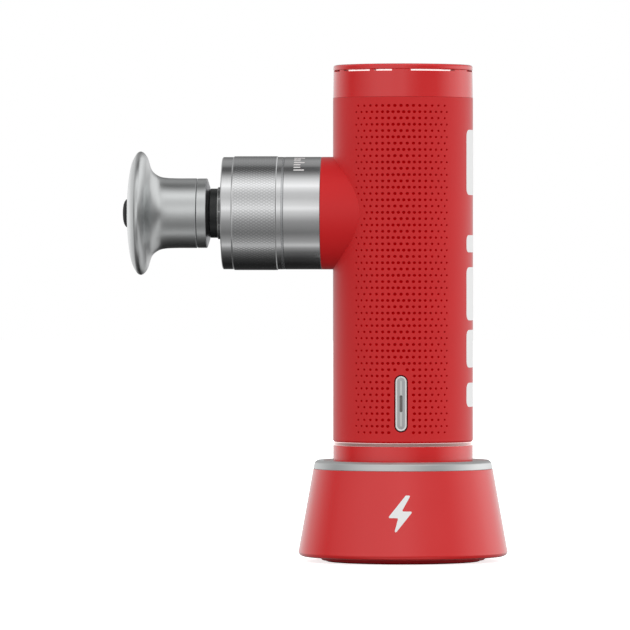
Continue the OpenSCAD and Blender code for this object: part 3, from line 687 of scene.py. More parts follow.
# a dark red foot: the red darkened with painted shade, for the shadow under the dock
FOOT_SHADE = surface("foot_rubber_painted_shade", (0.10, 0.004, 0.005), 0.7, freq=7, bump=1.0e-5, colvar=0.08, spec=0.06)
WHITE = surface("white_print", (0.80, 0.805, 0.80), 0.45, freq=8, bump=3e-6, colvar=0.02)
# a darker copy of the head metal for the collar's chamfer: painted shade
COLLAR_EDGE_SHADE = surface("collar_edge_painted_shade", (0.30, 0.30, 0.31), 0.3, 1.0, kind="turnX", freq=6, bump=1.0e-6, colvar=0.02, roughvar=0.03)
# silver tinted pink: a painted reflection of the red shells, with painted sheen and a painted glow where the ring turns
# away
ACCENT = surface("silver_accent", (0.46, 0.27, 0.25), 0.5, 0.6, kind="turnZ", freq=5, bump=1e-6, colvar=0.03, painted_sheen=0.8, glow=1.8)
DARK_PRINT = surface("dark_print", (0.05, 0.052, 0.055), 0.5, freq=8, bump=2e-6, colvar=0.05)
# darker red for the dimple and key hole walls: painted shade, with a slight glow (emit) that is painted light
PIT_SHADE = surface("red_pit_painted_shade", (0.25, 0.0006, 0.0012), 0.9, freq=9, bump=2e-6, colvar=0.05, spec=0.0, emit=0.5)
# darker copies of the key's silver: painted shade on the flanks, darker painted shade tinted red on the sides, a
# lighter painted shade on the ridge for its bright line
KEY_FLANK_SHADE = surface("key_flank_painted_shade", (0.44, 0.445, 0.45), 0.5, 0.3, kind="brushZ", freq=6, bump=1.5e-6, colvar=0.03)
KEY_RIDGE_SHADE = surface("key_ridge_painted_shade", (0.62, 0.63, 0.615), 0.45, 0.3, kind="brushZ", freq=6, bump=1.5e-6, colvar=0.03)
KEY_SIDE_SHADE = surface("key_side_painted_shade", (0.05, 0.012, 0.014), 0.6, freq=6, bump=2e-6, colvar=0.05, spec=0.1)
GREY_RUBBER = surface("seal_grey", (0.20, 0.203, 0.203), 0.3, 0.85, kind="turnX", freq=6, bump=2e-6, colvar=0.05)
PALE_RIB = surface("pale_rib", (0.44, 0.445, 0.44), 0.3, 0.8, kind="turnX", freq=5, bump=2e-6, colvar=0.03)

record = frame["record"]


# ------------------------------------------------------------ gun: housings


def build_main_housing():
    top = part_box("main_housing")[1].z / MM
    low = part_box("main_housing")[0].z / MM
    end = -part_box("main_housing")[0].x / MM
    ob = lathe("main_housing_skin", [(0, low), (BODY_R - 0.5, low, 0.1), (BODY_R, low + 0.6, 0.25), (BODY_R, top, 0.04), (0, top)], seg=240)
    stub = lathe("stub", [(0, 4), (NR, 4), (NR, end, 0.12), (0, end)], "N", seg=240)
    boolean(ob, stub, "UNION")
    inner = lathe("inner", [(0, low - 2), (BODY_R - 2, low - 2), (BODY_R - 2, top + 2), (0, top + 2)], seg=120, phase=0.01)
    boolean(ob, inner)
    bore = lathe("bore", [(0, 2), (18.2, 2), (18.2, end + 2), (0, end + 2)], "N", seg=120, phase=0.01)
    boolean(ob, bore)
    boolean(ob, outward(along_y(stadium(4.8, 20.3, KEY_Z, 14), -BODY_R - 2, -BODY_R + 4)))
    # the grid of small dimples, front and back
    seg = 10
    # (radius, height over the skin) of the cutter, as shares: hole, throat, countersink
    rings = [(0.62, -0.92, 0), (0.96, -0.52, 0), (1.0, 0.0, -0.085), (1.0, 0.0, 0.02), (1.0, 0.0, 0.3)]
    grow = [0, 0, 0, 0.24, 0.40]
    F0 = [(0, 1 + (k + 1) % seg, 1 + k) for k in range(seg)]
    for q in range(len(rings) - 1):
        b0, b1 = 1 + q * seg, 1 + (q + 1) * seg
        F0 += [(b0 + k, b0 + (k + 1) % seg, b1 + (k + 1) % seg, b1 + k) for k in range(seg)]
    b0 = 1 + (len(rings) - 1) * seg
    F0 += [(b0 + k, b0 + (k + 1) % seg, 1 + len(rings) * seg) for k in range(seg)]
    turns = 2 * np.pi * (np.arange(seg) + 0.5) / seg

    def dimple(a, d):
        rows = [[(0, 0, -d)]]
        for (sr, sd, fix), g in zip(rings, grow):
            r = a * sr + g * min(1.0, a / 0.5)
            rows.append([(r * 1.08 * math.cos(t), r * 0.92 * math.sin(t), sd * d + fix) for t in turns])
        rows.append([(0, 0, 0.32)])
        return np.array([p for row in rows for p in row])

    parts = []
    for i in range(53):
        z = 162.05 - 2.223 * i
        row = [((k - 7) * 2.19, abs(k - 7) < 0.5, abs(k - 7) <= 1) for k in range(15)] if i % 2 == 0 else \
              [((k - 8.5) * 1.89, False, abs(k - 8.5) <= 1.5) for k in range(18)]
        for across, centre, near in row:
            th = math.degrees(math.asin(across / BODY_R))
            for back in (False, True):
                if not back and ((i == 42 and centre) or (i > 42 and near)):
                    continue
                ang = math.radians(th + (180 if back else 0))
                x, y = math.sin(ang), -math.cos(ang)
                if x < 0 and math.hypot(y * BODY_R, z - ZN) < NR + 0.75:
                    continue
                s = min(1.0, abs(th) / 40) ** 1.5
                a = 0.58 + (0.385 - 0.58) * s
                d = 0.50 + (0.38 - 0.50) * s
                V0 = dimple(a, d)
                c = np.array([x, y, 0]) * BODY_R + np.array([0, 0, z])
                er, et, ez = np.array([x, y, 0]), np.array([-y, x, 0]), np.array([0, 0, 1.0])
                parts.append((c + V0[:, :1] * et + V0[:, 1:2] * ez + V0[:, 2:] * er, F0))
    boolean(ob, outward_many(parts))
    shade(ob)
    # dimple walls and the key hole's walls take a darker red: painted shade, with a slight painted glow that keeps it
    # red
    me = ob.data
    me.materials.clear()
    me.materials.append(MATS["red_grip"])
    me.materials.append(PIT_SHADE)
    c = np.zeros(len(me.polygons) * 3, np.float32)
    me.polygons.foreach_get("center", c)
    c = c.reshape(-1, 3) / MM
    r = np.hypot(c[:, 0], c[:, 1])
    pit = (r > BODY_R - 0.52) & (r < BODY_R - 0.078) & (c[:, 2] > low + 1) & (c[:, 2] < top - 0.5)
    pit &= ~((abs(c[:, 0]) < 2.6) & (abs(c[:, 2] - KEY_Z) < 10.4) & (c[:, 1] < 0))
    pit &= ~((c[:, 0] < 0) & (np.hypot(c[:, 1], c[:, 2] - ZN) < NR + 0.2))
    hole = (abs(c[:, 0]) < 2.5) & (abs(c[:, 2] - KEY_Z) < 10.25) & (c[:, 1] < 0) & (r < BODY_R - 0.02) & (r > BODY_R - 1.9)
    me.polygons.foreach_set("material_index", (pit | hole).astype(np.int32))
    print("main housing faces", len(me.polygons), "dimples", len(parts), "dimple faces", int(pit.sum()))
    stand(ob, "gun", "red_grip", "main_housing")


def outward_many(parts):
    V, F = parts[0]
    flip = outward((np.array(V), F))[1] is not F
    if flip:
        parts = [(v, [tuple(reversed(f)) for f in f_]) for v, f_ in parts]
    return joined(parts)


def build_crown():
    ob = lathe("crown_band_shell", [(21.2, 160.2), (22.95, 160.2), (22.95, 165.25), (24.95, 165.25, 0.04), (24.78, 174.98, 0.1), (22.6, 174.98),
                                    (22.6, 166.7), (21.2, 166.7)], seg=240)
    for ro, ri in ((21.6, 20.6), (13.8, 12.6), (6.4, 4.4)):
        boolean(ob, lathe("gr", [(ri, 165.8), (ro, 165.8), (ro, 167.4), (ri, 167.4)], seg=96, phase=0.013), "UNION")
    for k in range(6):
        a = math.radians(60 * k + 30)
        ca, sa = math.cos(a), math.sin(a)
        V, F = box_at(5.2, 21.0, -0.7, 0.7, 165.9, 167.3)
        V = np.stack([V[:, 0] * ca - V[:, 1] * sa, V[:, 0] * sa + V[:, 1] * ca, V[:, 2]], 1)
        boolean(ob, (V, F), "UNION")
    parts = []
    gaps = [(-79, -63.4), (-57, -26.8), (-23.1, -7.5), (8.0, 49.5), (67.8, 96), (112, 147.5), (163.5, 199), (215, 250), (266, 272)]
    for f0, f1 in gaps:
        a0, a1 = f0 - 90, f1 - 90
        n = max(4, int((a1 - a0) / 1.5))
        aa = np.radians(np.linspace(a0, a1, n + 1))
        ring = [(21.5 * math.cos(a), 21.5 * math.sin(a)) for a in aa] + [(26 * math.cos(a), 26 * math.sin(a)) for a in aa[::-1]]
        parts.append(outward(extruded(ring, lambda u, v, w: (u, v, w), 174.45, 175.6)))
    boolean(ob, joined(parts))
    shade(ob)
    stand(ob, "gun", "red_satin", "crown_band")

    ob = lathe("top_cap_lid", [(0, 175), (24.65, 175, 0.1), (24.85, 175.3, 0.15), (24.85, 176.3, 0.3), (24.6, 176.75, 0.3), (24, 176.95, 0.4), (22.8, 177, 1.0), (0, 177)], seg=240)
    boolean(ob, lathe("boss", [(0, 166), (3.1, 166), (3.1, 175.4), (0, 175.4)], seg=48, phase=0.01), "UNION")
    for a in (30, 150, 270):
        ca, sa = math.cos(math.radians(a)), math.sin(math.radians(a))
        V, F = box_at(17.2, 18.8, -2.5, 2.5, 167.8, 175.4)
        V = np.stack([V[:, 0] * ca - V[:, 1] * sa, V[:, 0] * sa + V[:, 1] * ca, V[:, 2]], 1)
        boolean(ob, (V, F), "UNION")
    shade(ob)
    stand(ob, "gun", "red_satin", "top_cap")

    ob = lathe("air_filter_ring", [(21.2, 167.5, 0.2), (22.4, 167.5, 0.2), (22.4, 174.9, 0.2), (21.2, 174.9, 0.2)], seg=144)
    co = np.array([v.co for v in ob.data.vertices]) / MM
    stand(ob, "gun", "filter_felt", "air_filter")


def build_lower_gun():
    ob = lathe("accent_ring_band", [(22.98, RB), (25, RB, 0.14), (25, RT, 0.14), (22.98, RT)], seg=240)
    # the ring's pink tint and edge glow are painted reflection and painted light
    ob.data.materials.append(ACCENT)
    stand(ob, "gun", "silver_ring", "accent_ring")

    ob = lathe("bottom_cap_shell", [(0, 22.05), (23.4, 22.05, 0.5), (24.5, 22.4, 0.6), (24.95, 23.35, 0.6), (24.95, RB - 0.05, 0.12), (22.9, RB - 0.05), (22.9, 45.45), (21.2, 45.45),
                                    (21.2, RB - 0.3), (22.9, RB - 1.9), (22.9, 24.55), (0, 24.55)], seg=240)
    bosses = []
    for k in range(4):
        a = math.radians(45 + 90 * k)
        bosses.append(post(18 * math.cos(a), 18 * math.sin(a), 2.9, 24.0, 28.05, 32))
    boolean(ob, joined(bosses), "UNION")
    boolean(ob, lathe("p0", [(0, 21), (2.6, 21), (2.6, 22.95), (0, 22.95)], seg=64, phase=0.01))
    boolean(ob, lathe("p1", [(5.9, 21), (8.1, 21), (8.1, 22.95), (5.9, 22.95)], seg=96, phase=0.01))
    heads, holes = [], []
    for k in range(4):
        a = math.radians(45 + 90 * k)
        heads.append(post(18 * math.cos(a), 18 * math.sin(a), 2.0, 21, 24.25, 40))
        holes.append(post(18 * math.cos(a), 18 * math.sin(a), 1.1, 20.5, 30, 28))
    boolean(ob, joined(heads))
    boolean(ob, joined(holes))
    shade(ob)
    stand(ob, "gun", "red_satin", "bottom_cap")

    ob = lathe("charge_contact_rings", [(0, 22.15), (2.5, 22.15, 0.2), (2.5, 22.9), (0, 22.9)], seg=64)
    boolean(ob, lathe("cr", [(6, 22.15, 0.2), (8, 22.15, 0.2), (8, 22.9), (6, 22.9)], seg=96), "UNION")
    shade(ob)
    stand(ob, "gun", "gold_contact", "charge_contacts")


def loops_solid(name, loops, mats=None, band_mats=None):
    """A closed solid from loops of equal length, first and last closed with flat faces."""
    n = len(loops[0])
    V = np.array([p for lp in loops for p in lp], float)
    F, idx = [], []
    F.append(tuple(reversed(range(n))))
    idx.append(0)
    for q in range(len(loops) - 1):
        for k in range(n):
            k2 = (k + 1) % n
            F.append((q * n + k, q * n + k2, (q + 1) * n + k2, (q + 1) * n + k))
            idx.append(band_mats[q] if band_mats else 0)
    F.append(tuple(range((len(loops) - 1) * n, len(loops) * n)))
    idx.append(band_mats[-1] if band_mats else 0)
    return V, F, idx


def build_key():
    y0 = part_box("mode_key")[0].y / MM     # front face
    w, h = 4.0, 19.5
    # (inset from the outline, depth, material of the band that follows: 0 the key's silver, 1 the flank, 2 the side and
    # 3 the ridge, in painted shade)
    rows = [(-0.975, -21.7, 2), (-0.975, -22.4, 2), (-0.9, -22.5, 2), (0.0, -22.5, 2), (0.0, y0 + 0.62, 2), (0.03, y0 + 0.58, 0), (0.03, y0 + 0.26, 0), (0.07, y0 + 0.12, 0), (0.15, y0 + 0.04, 0), (0.27, y0, 0),
            (0.48, y0 + 0.02, 0), (0.56, y0 + 0.07, 0), (0.61, y0 + 0.14, 0), (0.64, y0 + 0.18, 1), (1.58, y0 + 0.13, 1), (1.68, y0 + 0.09, 3), (1.74, y0 + 0.08, 3)]
    loops = []
    for off, y, _ in rows:
        loops.append([(u, y, v) for u, v in stadium(w - 2 * off, h - 2 * off, KEY_Z, 14)])
    V, F, idx = loops_solid("k", loops, band_mats=[r[2] for r in rows])
    vol = outward((V, F))
    ob = solid("mode_key_cap", vol, 24)
    ob.data.materials.append(MATS["silver_key"])
    # the flanks, the sides and the ridge take darker copies of the key's silver: painted shade
    ob.data.materials.append(KEY_FLANK_SHADE)
    ob.data.materials.append(KEY_SIDE_SHADE)
    ob.data.materials.append(KEY_RIDGE_SHADE)
    ob.data.polygons.foreach_set("material_index", idx)
    boolean(ob, outward(along_y(stadium(1.3, 6.2, KEY_Z, 10), -24.7, -23.0)))
    boolean(ob, outward(along_y(stadium(1.04, 5.95, KEY_Z, 10), y0 - 1, -24.6)))
    boolean(ob, outward(along_y(circle(1.0, 24, 0, KEY_Z), -21.9, -20.05)), "UNION")
    shade(ob, 24)
    stand(ob, "mode_key", "silver_key", "mode_key")
    g0, g1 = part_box("key_light_guide")
    rows = [(0.0, g1.y / MM), (0.0, g0.y / MM + 0.12), (0.05, g0.y / MM + 0.03), (0.14, g0.y / MM)]
    gw, gh = (g1.x - g0.x) / MM, (g1.z - g0.z) / MM
    loops = [[(u, y, v) for u, v in stadium(gw - 2 * o, gh - 2 * o, KEY_Z, 10)] for o, y in rows]
    V, F, _ = loops_solid("g", loops)
    ob = solid("key_light_window", outward((V, F)))
    body = next(b for b, ns in record["behaviour"]["bodies"].items() if "key_light_guide" in ns)
    stand(ob, body, "light_guide", "key_light_guide")


# -------------------------------------------------------------- gun: nozzle


def knurl_band(r0, h0, h1, around, along, depth, core_r):
    """Diamond knurling on the outside of a ring: returns the angles round it, the rows of radii and their heights, for
    the nozzle frame.
    """
    nu = around * 4
    nv = along * 4
    a = np.arange(nu) * 2 * np.pi / nu
    u = np.arange(nu) / 4.0
    v = np.arange(nv + 1) / 4.0
    p1 = (u[None, :] + v[:, None]) % 1.0
    p2 = (u[None, :] - v[:, None]) % 1.0
    d1 = np.minimum(p1, 1 - p1)
    d2 = np.minimum(p2, 1 - p2)
    f = np.minimum(d1, d2) * 2
    fade = np.minimum(1.0, np.minimum(np.arange(nv + 1), nv - np.arange(nv + 1)) / 1.0)
    R = r0 - depth * (1 - f * fade[:, None])
    H = h0 + (h1 - h0) * np.arange(nv + 1) / nv
    rows = [R[i] for i in range(nv + 1)]
    hs = list(H)
    return a, rows, hs


def build_speed_ring():
    lo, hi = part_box("speed_ring")
    hb, hf = -hi.x / MM, -lo.x / MM
    r_out = KR
    a, rows, hs = knurl_band(r_out, KNURL_H0, KNURL_H1, KNURL_N, KNURL_M, 0.032, 17.35)
    nu = len(a)
    ones = np.ones(nu)
    # outline around the knurl, from the inner bore at the back, over the outside, to the bore at the front
    prof = [(17.35, hb), (NR - 0.03, hb), (NR - 0.01, hb + 0.01), (NR, hb + 0.03), (NR, 44.52), (NR + 0.02, 44.57), (KR - 0.03, 44.76), (KR, 44.83)]
    back = [(ones * r, h) for r, h in prof]
    body = [(R, h) for R, h in zip(rows, hs)]
    front = [(ones * r, h) for r, h in [(KR, 59.98), (KR - 0.02, 60.08), (NR + 0.02, 60.42), (NR - 0.02, 60.48), (NR - 0.05, hf + 0.02), (17.35, hf + 0.02)]]
    L = back + body + front
    V = np.concatenate([world_of("N", R, a, np.full(nu, h)) for R, h in L])
    F = []
    m = len(L)
    Rm = np.array([R for R, h in L])
    for i in range(m):
        k = (i + 1) % m
        for j in range(nu):
            j2 = (j + 1) % nu
            q = (i * nu + j, i * nu + j2, k * nu + j2, k * nu + j)
            if abs(Rm[i][j] + Rm[k][j2] - Rm[i][j2] - Rm[k][j]) > 1e-4:
                if Rm[i][j] + Rm[k][j2] < Rm[i][j2] + Rm[k][j]:
                    F += [(q[0], q[1], q[2]), (q[0], q[2], q[3])]
                else:
                    F += [(q[0], q[1], q[3]), (q[1], q[2], q[3])]
            else:
                F.append(q)
    me = bpy.data.meshes.new("speed_ring_knurled")
    me.from_pydata((V * MM).tolist(), [], F)
    me.update()
    ob = new_object("speed_ring_knurled", me)
    prof2 = [(R[0], h) for R, h in L if np.ptp(R) < 1e-6]
    SURFACES[ob.name] = [("N", clean(prof2), False)]
    shade(ob, 9)
    print("speed ring faces", len(me.polygons))
    ob.data.materials.append(KNURLED)
    stand(ob, "speed_ring", "silver_collar", "speed_ring")


def build_nozzle():
    ob = lathe("barrel_sleeve", [(17.75, 29.05), (NR, 29.05, 0.1), (NR, 42, 0.06), (17.75, 42)], "N", seg=240)
    stand(ob, "gun", "silver_collar", "barrel")
    ob = lathe("detent_ring", [(17.4, 42.1), (NR - 0.03, 42.1, 0.03), (NR - 0.03, 42.83, 0.01), (17.4, 42.83)], "N", seg=192)
    stand(ob, "gun", "steel", "detent_washer")
    build_speed_ring()
    ob = lathe("nose_ring_bezel", [(12.1, 56.1), (14.05, 56.1), (14.05, 60.56), (NR - 0.05, 60.56, 0.02), (NR - 0.05, NE - 0.4, 0.1), (NR - 0.3, NE - 0.07, 0.1), (NR - 0.5, NE, 0.1), (9.75, NE, 0.12),
                                   (9.75, 61.2), (12.1, 61.2)], "N", seg=240)
    stand(ob, "gun", "silver_collar", "nose_ring")

    ob = lathe("shaft_seal_ring", [(8.86, 61.3), (9.7, 61.3), (9.7, NE), (9.3, NE + 0.1), (9.3, SE - 0.5), (9.24, SE - 0.45), (9.3, SE - 0.4), (9.3, SE - 0.12, 0.08), (9.15, SE), (8.86, SE)], "N", seg=240)
    cuts, ribs = [], []
    for k in range(12):
        a = math.radians(3 + 30 * k)
        ca, sa = math.cos(a), math.sin(a)

        def turn(part):
            V, F = part          # local x = radial, y = tangent, z = h
            r_, t_, h_ = V[:, 0], V[:, 1], V[:, 2]
            y = r_ * sa + t_ * ca
            z = ZN + r_ * ca - t_ * sa
            return outward((np.stack([-h_, y, z], 1), F))
        cuts.append(turn(box_at(8.5, 9.6, -0.24, 0.24, NE + 0.15, SE - 0.48)))
        ribs.append(turn(box_at(8.88, 9.29, -0.23, 0.23, NE + 0.16, SE - 0.49)))
    boolean(ob, joined(cuts))
    shade(ob)
    ob.data.materials.clear()
    ob.data.materials.append(GREY_RUBBER)
    ob.data.materials.append(PALE_RIB)
    for p in ob.data.polygons:
        p.material_index = 1 if -p.center.x / MM > SE - 0.44 and math.hypot(p.center.y / MM, p.center.z / MM - ZN) > 9 else 0
    stand(ob, "gun", "black_rubber", "shaft_seal")
    ribs_ob = solid("shaft_seal_ribs", joined(ribs))
    ribs_ob.data.materials.append(PALE_RIB)
    stand(ribs_ob, "gun", None)

    ob = lathe("plunger_shaft", [(5.05, 19.5), (8.8, 19.5, 0.3), (8.8, 68.62, 0.1), (8.66, 68.75), (6.5, 68.75), (6.08, 68.3), (6.08, 48.5), (0, 48.5), (0, 31), (5.05, 31)], "N", seg=192)
    V, F = extruded(circle(1.52, 40), lambda u, v, w: (-(25 + u), v * 0 + w, ZN + v), -12, 12)
    boolean(ob, outward((V, F)))
    shade(ob)
    stand(ob, "plunger", "black_shaft", "plunger")

    # dial marks round the top of the barrel
    parts = []
    for k in range(7):
        a = 27 - 4.6 * (k - 3)        # degrees from straight up, towards the front
        h0, h1 = (34.8, 38.6) if k % 3 == 0 else (36.2, 38.6)
        parts.append(patch_on(rounded_rect(-0.26, 0.26, h0, h1, 0.2), "barrel", -a))
    ob = solid("barrel_dial_marks", joined(parts))
    ob.data.materials.append(WHITE)
    stand(ob, "gun", None)


def build_head():
    lo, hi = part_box("head_body")
    ob = lathe("head_collar_ring", [(6.6, 68.9), (9.1, 68.9, 0.08), (12.16, 69.86, 0.1), (12.4, 70.06, 0.12), (12.4, 73.2, 0.15), (12.25, 73.35), (6.6, 73.35)], "N", seg=192)
    ob.data.materials.clear()
    ob.data.materials.append(MATS["head_metal"])
    ob.data.materials.append(COLLAR_EDGE_SHADE)
    # the chamfer faces take the darker copy of the head metal: painted shade
    for p in ob.data.polygons:
        c = p.center / MM
        p.material_index = 1 if -c.x < 70.0 and 9.0 < math.hypot(c.y, c.z - ZN) < 12.3 else 0
    stand(ob, "massage_head", "head_metal", "head_collar")
    flare = spline([(12.45, 80), (12.6, 84.2), (13, 86.6), (13.8, 88.2), (15.2, 89.7), (17.3, 90.6), (19.6, 91.3), (21.1, 92.2), (21.8, 93), (22.05, 93.8), (21.7, 94.7),
                    (20.8, 95.4), (19, 96.4), (17.2, 97), (13, 97.75), (8.2, 98.25)], 4)
    prof = [(9.05, 73.55), (12.35, 73.55), (12.45, 73.7)] + flare + [(4.25, 98.35), (4.25, 87), (2.1, 87), (2.1, 85.1), (9.05, 85.1)]
    ob = lathe("head_body_bell", prof, "N", seg=240)
    stand(ob, "massage_head", "head_metal", "head_body")
    ob = lathe("head_front_button", [(0, 90.3), (4.2, 90.3), (4.2, 98.48)] + spline([(5.15, 98.5), (4.9, 98.95), (4.3, 99.45), (3.3, 99.85), (1.8, 100.1), (0, 100.15)], 4), "N", seg=120)
    stand(ob, "massage_head", "black_rubber", "head_front_plug")
    ob = lathe("head_stem_plug", [(0, 49.2), (5.3, 49.2), (6, 49.9), (6, 52.9), (4.2, 52.9, 0.15), (4.2, 54.9, 0.15), (6, 54.9), (6, 62.9), (4.2, 62.9, 0.15), (4.2, 64.9, 0.15), (6, 64.9),
                                  (6, 73.45), (9, 73.45), (9, 85), (2.05, 85), (2.05, 60), (0, 60)], "N", seg=144)
    stand(ob, "massage_head", "dark_plastic", "head_stem")
    parts = []
    ob = lathe("stem_o_ring_pair", circle(0.9, 20, 5.14, 53.9), "N", seg=120)
    boolean(ob, lathe("o2", circle(0.9, 20, 5.14, 63.9), "N", seg=120), "UNION")
    shade(ob)
    stand(ob, "massage_head", "black_rubber", "stem_o_rings")


# --------------------------------------------------------------------- dock


def build_dock():
    shell = [(DR - 3, 1.8), (DR - 1.6, 1.85, 0.4), (DR - 0.6, 2.25, 0.6), (DR, 3.2, 0.8), (DT + 0.05, 33, 0.2), (DT - 2.2, 33), (DR - 2.4, 3.7), (DR - 3, 3.7)]
    ob = lathe("dock_shell_cone", shell, seg=288)
    boolean(ob, outward(along_y(flat_stadium(9.6, 3.9, 11.7, 14), 29, 42)))
    shade(ob)
    stand(ob, "dock", "red_satin", "dock_shell")
    ob = lathe("dock_trim_bezel", [(DT - 2.3, 33.05), (DT - 0.05, 33.05, 0.12), (DT - 0.4, 35.3, 0.7), (DT - 1.4, 36.1, 0.25), (DT - 1.9, 36.1, 0.2), (DT - 2.3, 35.7, 0.3), (25.8, 32.2, 0.4), (25.45, 31.2, 0.3),
                                   (25.45, 30.5), (DT - 2.3, 30.5)], seg=288, n=5)
    stand(ob, "dock", "silver_ring", "dock_trim_ring")

    ob = lathe("dock_socket_cup", [(0, 20), (27.2, 20), (27.2, 30.4), (25.4, 30.4, 0.3), (25.4, 22, 0.3), (0, 22)], seg=192)
    posts = [post(23.5 * math.cos(math.radians(a)), 23.5 * math.sin(math.radians(a)), 3, 6.2, 21.2, 32) for a in (30, 150, 270)]
    boolean(ob, joined(posts), "UNION")
    boolean(ob, post(0, 0, 10, 15.1, 21, 64), "UNION")
    holes = [post(0, 0, 0.85, 14, 23, 24)] + [post(7 * math.cos(math.radians(a)), 7 * math.sin(math.radians(a)), 0.85, 14, 23, 24) for a in (90, 210, 330)]
    boolean(ob, joined(holes))
    shade(ob)
    stand(ob, "dock", "dark_plastic", "dock_socket")

    ob = lathe("dock_base_plate", [(0, 1.25), (27.7, 1.25), (27.7, 0.5), (28.9, 0.5, 0.15), (29.4, 1, 0.15), (29.4, 2, 0.2), (DR - 3.1, 2), (DR - 3.1, 3.6), (0, 3.6)], seg=192)
    spots = [(23.5 * math.cos(math.radians(a)), 23.5 * math.sin(math.radians(a))) for a in (30, 150, 270)]
    boolean(ob, joined([post(x, y, 3, 3.3, 6.1, 40) for x, y in spots]), "UNION")
    boolean(ob, joined([post(x, y, 2, 0, 3, 36) for x, y in spots]))
    boolean(ob, joined([post(x, y, 1.1, 0, 8, 24) for x, y in spots]))
    shade(ob)
    stand(ob, "dock", "red_dark", "dock_base")
    ob = lathe("dock_foot_disc", [(0, 0), (27.2, 0, 0.15), (27.5, 0.3, 0.15), (27.5, 1.2), (0, 1.2)], seg=144)
    # the foot's dark red is painted shade
    ob.data.materials.append(FOOT_SHADE)
    stand(ob, "dock", "black_rubber", "dock_foot_pad")

    # charging inlet: thin metal shell with a tongue inside
    u0, u1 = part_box("usb_inlet")
    ya, yb = u0.y / MM, u1.y / MM
    rows = [(0.0, ya), (0.0, yb - 0.12), (0.04, yb - 0.03), (0.12, yb), (0.24, yb), (0.30, yb - 0.05), (0.30, ya + 1.0)]
    loops = [[(u, y, v) for u, v in flat_stadium(8.94 - 2 * o, 3.26 - 2 * o, 11.7, 12)] for o, y in rows]
    V, F, _ = loops_solid("u", loops)
    ob = solid("usb_inlet_shell", outward((V, F)))
    boolean(ob, outward(box_at(-2.6, 2.6, ya + 0.6, yb - 1.0, 11.35, 12.05)), "UNION")
    shade(ob)
    stand(ob, "dock", "steel", "usb_inlet")

    pins = None
    for px, py in [(0, 0), (0, 7), (-6.0622, -3.5), (6.0622, -3.5)]:
        pin = lathe("pogo_pin_set" if pins is None else "pin", [(0, 16), (0.78, 16, 0.1), (0.78, 21.7, 0.2), (0.5, 21.72, 0.05), (0.5, 22.1, 0.3), (0, 22.1)], seg=32)
        co = np.array([v.co for v in pin.data.vertices])
        co[:, 0] += px * MM
        co[:, 1] += py * MM
        pin.data.vertices.foreach_set("co", co.astype(np.float32).ravel())
        pin.data.update()
        if pins is None:
            pins = pin
        else:
            SURFACES.pop("pin", None)
            boolean(pins, pin, "UNION")
    SURFACES["pogo_pin_set"] = []
    shade(pins)
    stand(pins, "pogo_pins", "gold_contact", "pogo_pins")


# ------------------------------------------------------------------- marks


def rounded_rect(x0, x1, y0, y1, r, n=4):
    return [tuple(p) for p in fillet([(x0, y0, r), (x1, y0, r), (x1, y1, r), (x0, y1, r)], n)]


def patch_on(outline, where, angle=0.0, step=0.7, lift=0.05, sink=0.05):
    """A thin closed plate that follows a curved surface. outline is (across, up) in mm, counter-clockwise from outside."""
    bm = bmesh.new()
    vs = [bm.verts.new((u, v, 0)) for u, v in outline]
    bm.faces.new(vs)
    us = [u for u, _ in outline]
    x = math.floor(min(us) / step) * step + step
    while x < max(us):
        bmesh.ops.bisect_plane(bm, geom=bm.verts[:] + bm.edges[:] + bm.faces[:], plane_co=(x, 0, 0), plane_no=(1, 0, 0), dist=1e-6)
        x += step
    res = bmesh.ops.extrude_face_region(bm, geom=bm.faces[:])
    for v in [g for g in res["geom"] if isinstance(g, bmesh.types.BMVert)]:
        v.co.z = 1
    bm.verts.ensure_lookup_table()
    bm.verts.index_update()
    V, F = [], [tuple(v.index for v in f.verts) for f in bm.faces]
    for v in bm.verts:
        u, w, t = v.co
        off = lift if t > 0.5 else -sink
        if where == "dock":
            # unrolled on the cone of the dock shell, round the front
            fall = DR - DT - 0.05
            r = DR - fall * (w - 3.2) / 29.8
            nr, nh = 29.8 / math.hypot(29.8, fall), fall / math.hypot(29.8, fall)
            a = u / r - math.pi / 2
            rr, hh = r + off * nr, w + off * nh
            V.append((rr * math.cos(a), rr * math.sin(a), hh))
        elif where == "body":
            a = u / BODY_R + math.radians(angle)
            rr = BODY_R + off
            V.append((rr * math.cos(a), rr * math.sin(a), w))
        else:
            a = u / NR + math.radians(angle)
            rr = NR + off
            V.append((-w, rr * math.sin(a), ZN + rr * math.cos(a)))
    bm.free()
    return outward((np.array(V, float), F))


def build_marks():
    # a plain charging bolt on the front of the dock
    cz = 17.6
    bolt = [(1.9, 7.0), (-4.4, -0.9), (-0.7, -0.9), (-2.3, -7.0), (4.4, 1.4), (0.5, 1.4), (3.6, 7.0)]
    bolt = [(x, z + cz, 0.35) for x, z in bolt]
    ob = solid("dock_bolt_mark", patch_on([tuple(p) for p in fillet(bolt, 3)], "dock"), 30)
    ob.data.materials.append(WHITE)
    stand(ob, "dock", None)
    # plain blocks down the right side of the body
    half = math.radians(24) * BODY_R
    parts = []
    for z1, z0 in ((153.8, 130.6), (116.3, 110.2), (104.9, 86.0), (82.6, 69.2), (63.8, 55.2)):
        r = min(2.2, (z1 - z0) * 0.3)
        parts.append(patch_on(rounded_rect(-half, half, z0, z1, r, 5), "body", 0.0))
    ob = solid("side_blocks", joined(parts), 30)
    ob.data.materials.append(WHITE)
    stand(ob, "gun", None)


build_main_housing()
build_crown()
build_lower_gun()
build_key()
build_nozzle()
build_head()
build_dock()
build_marks()

# ------------------------------------------- CAD nodes that stay as they are

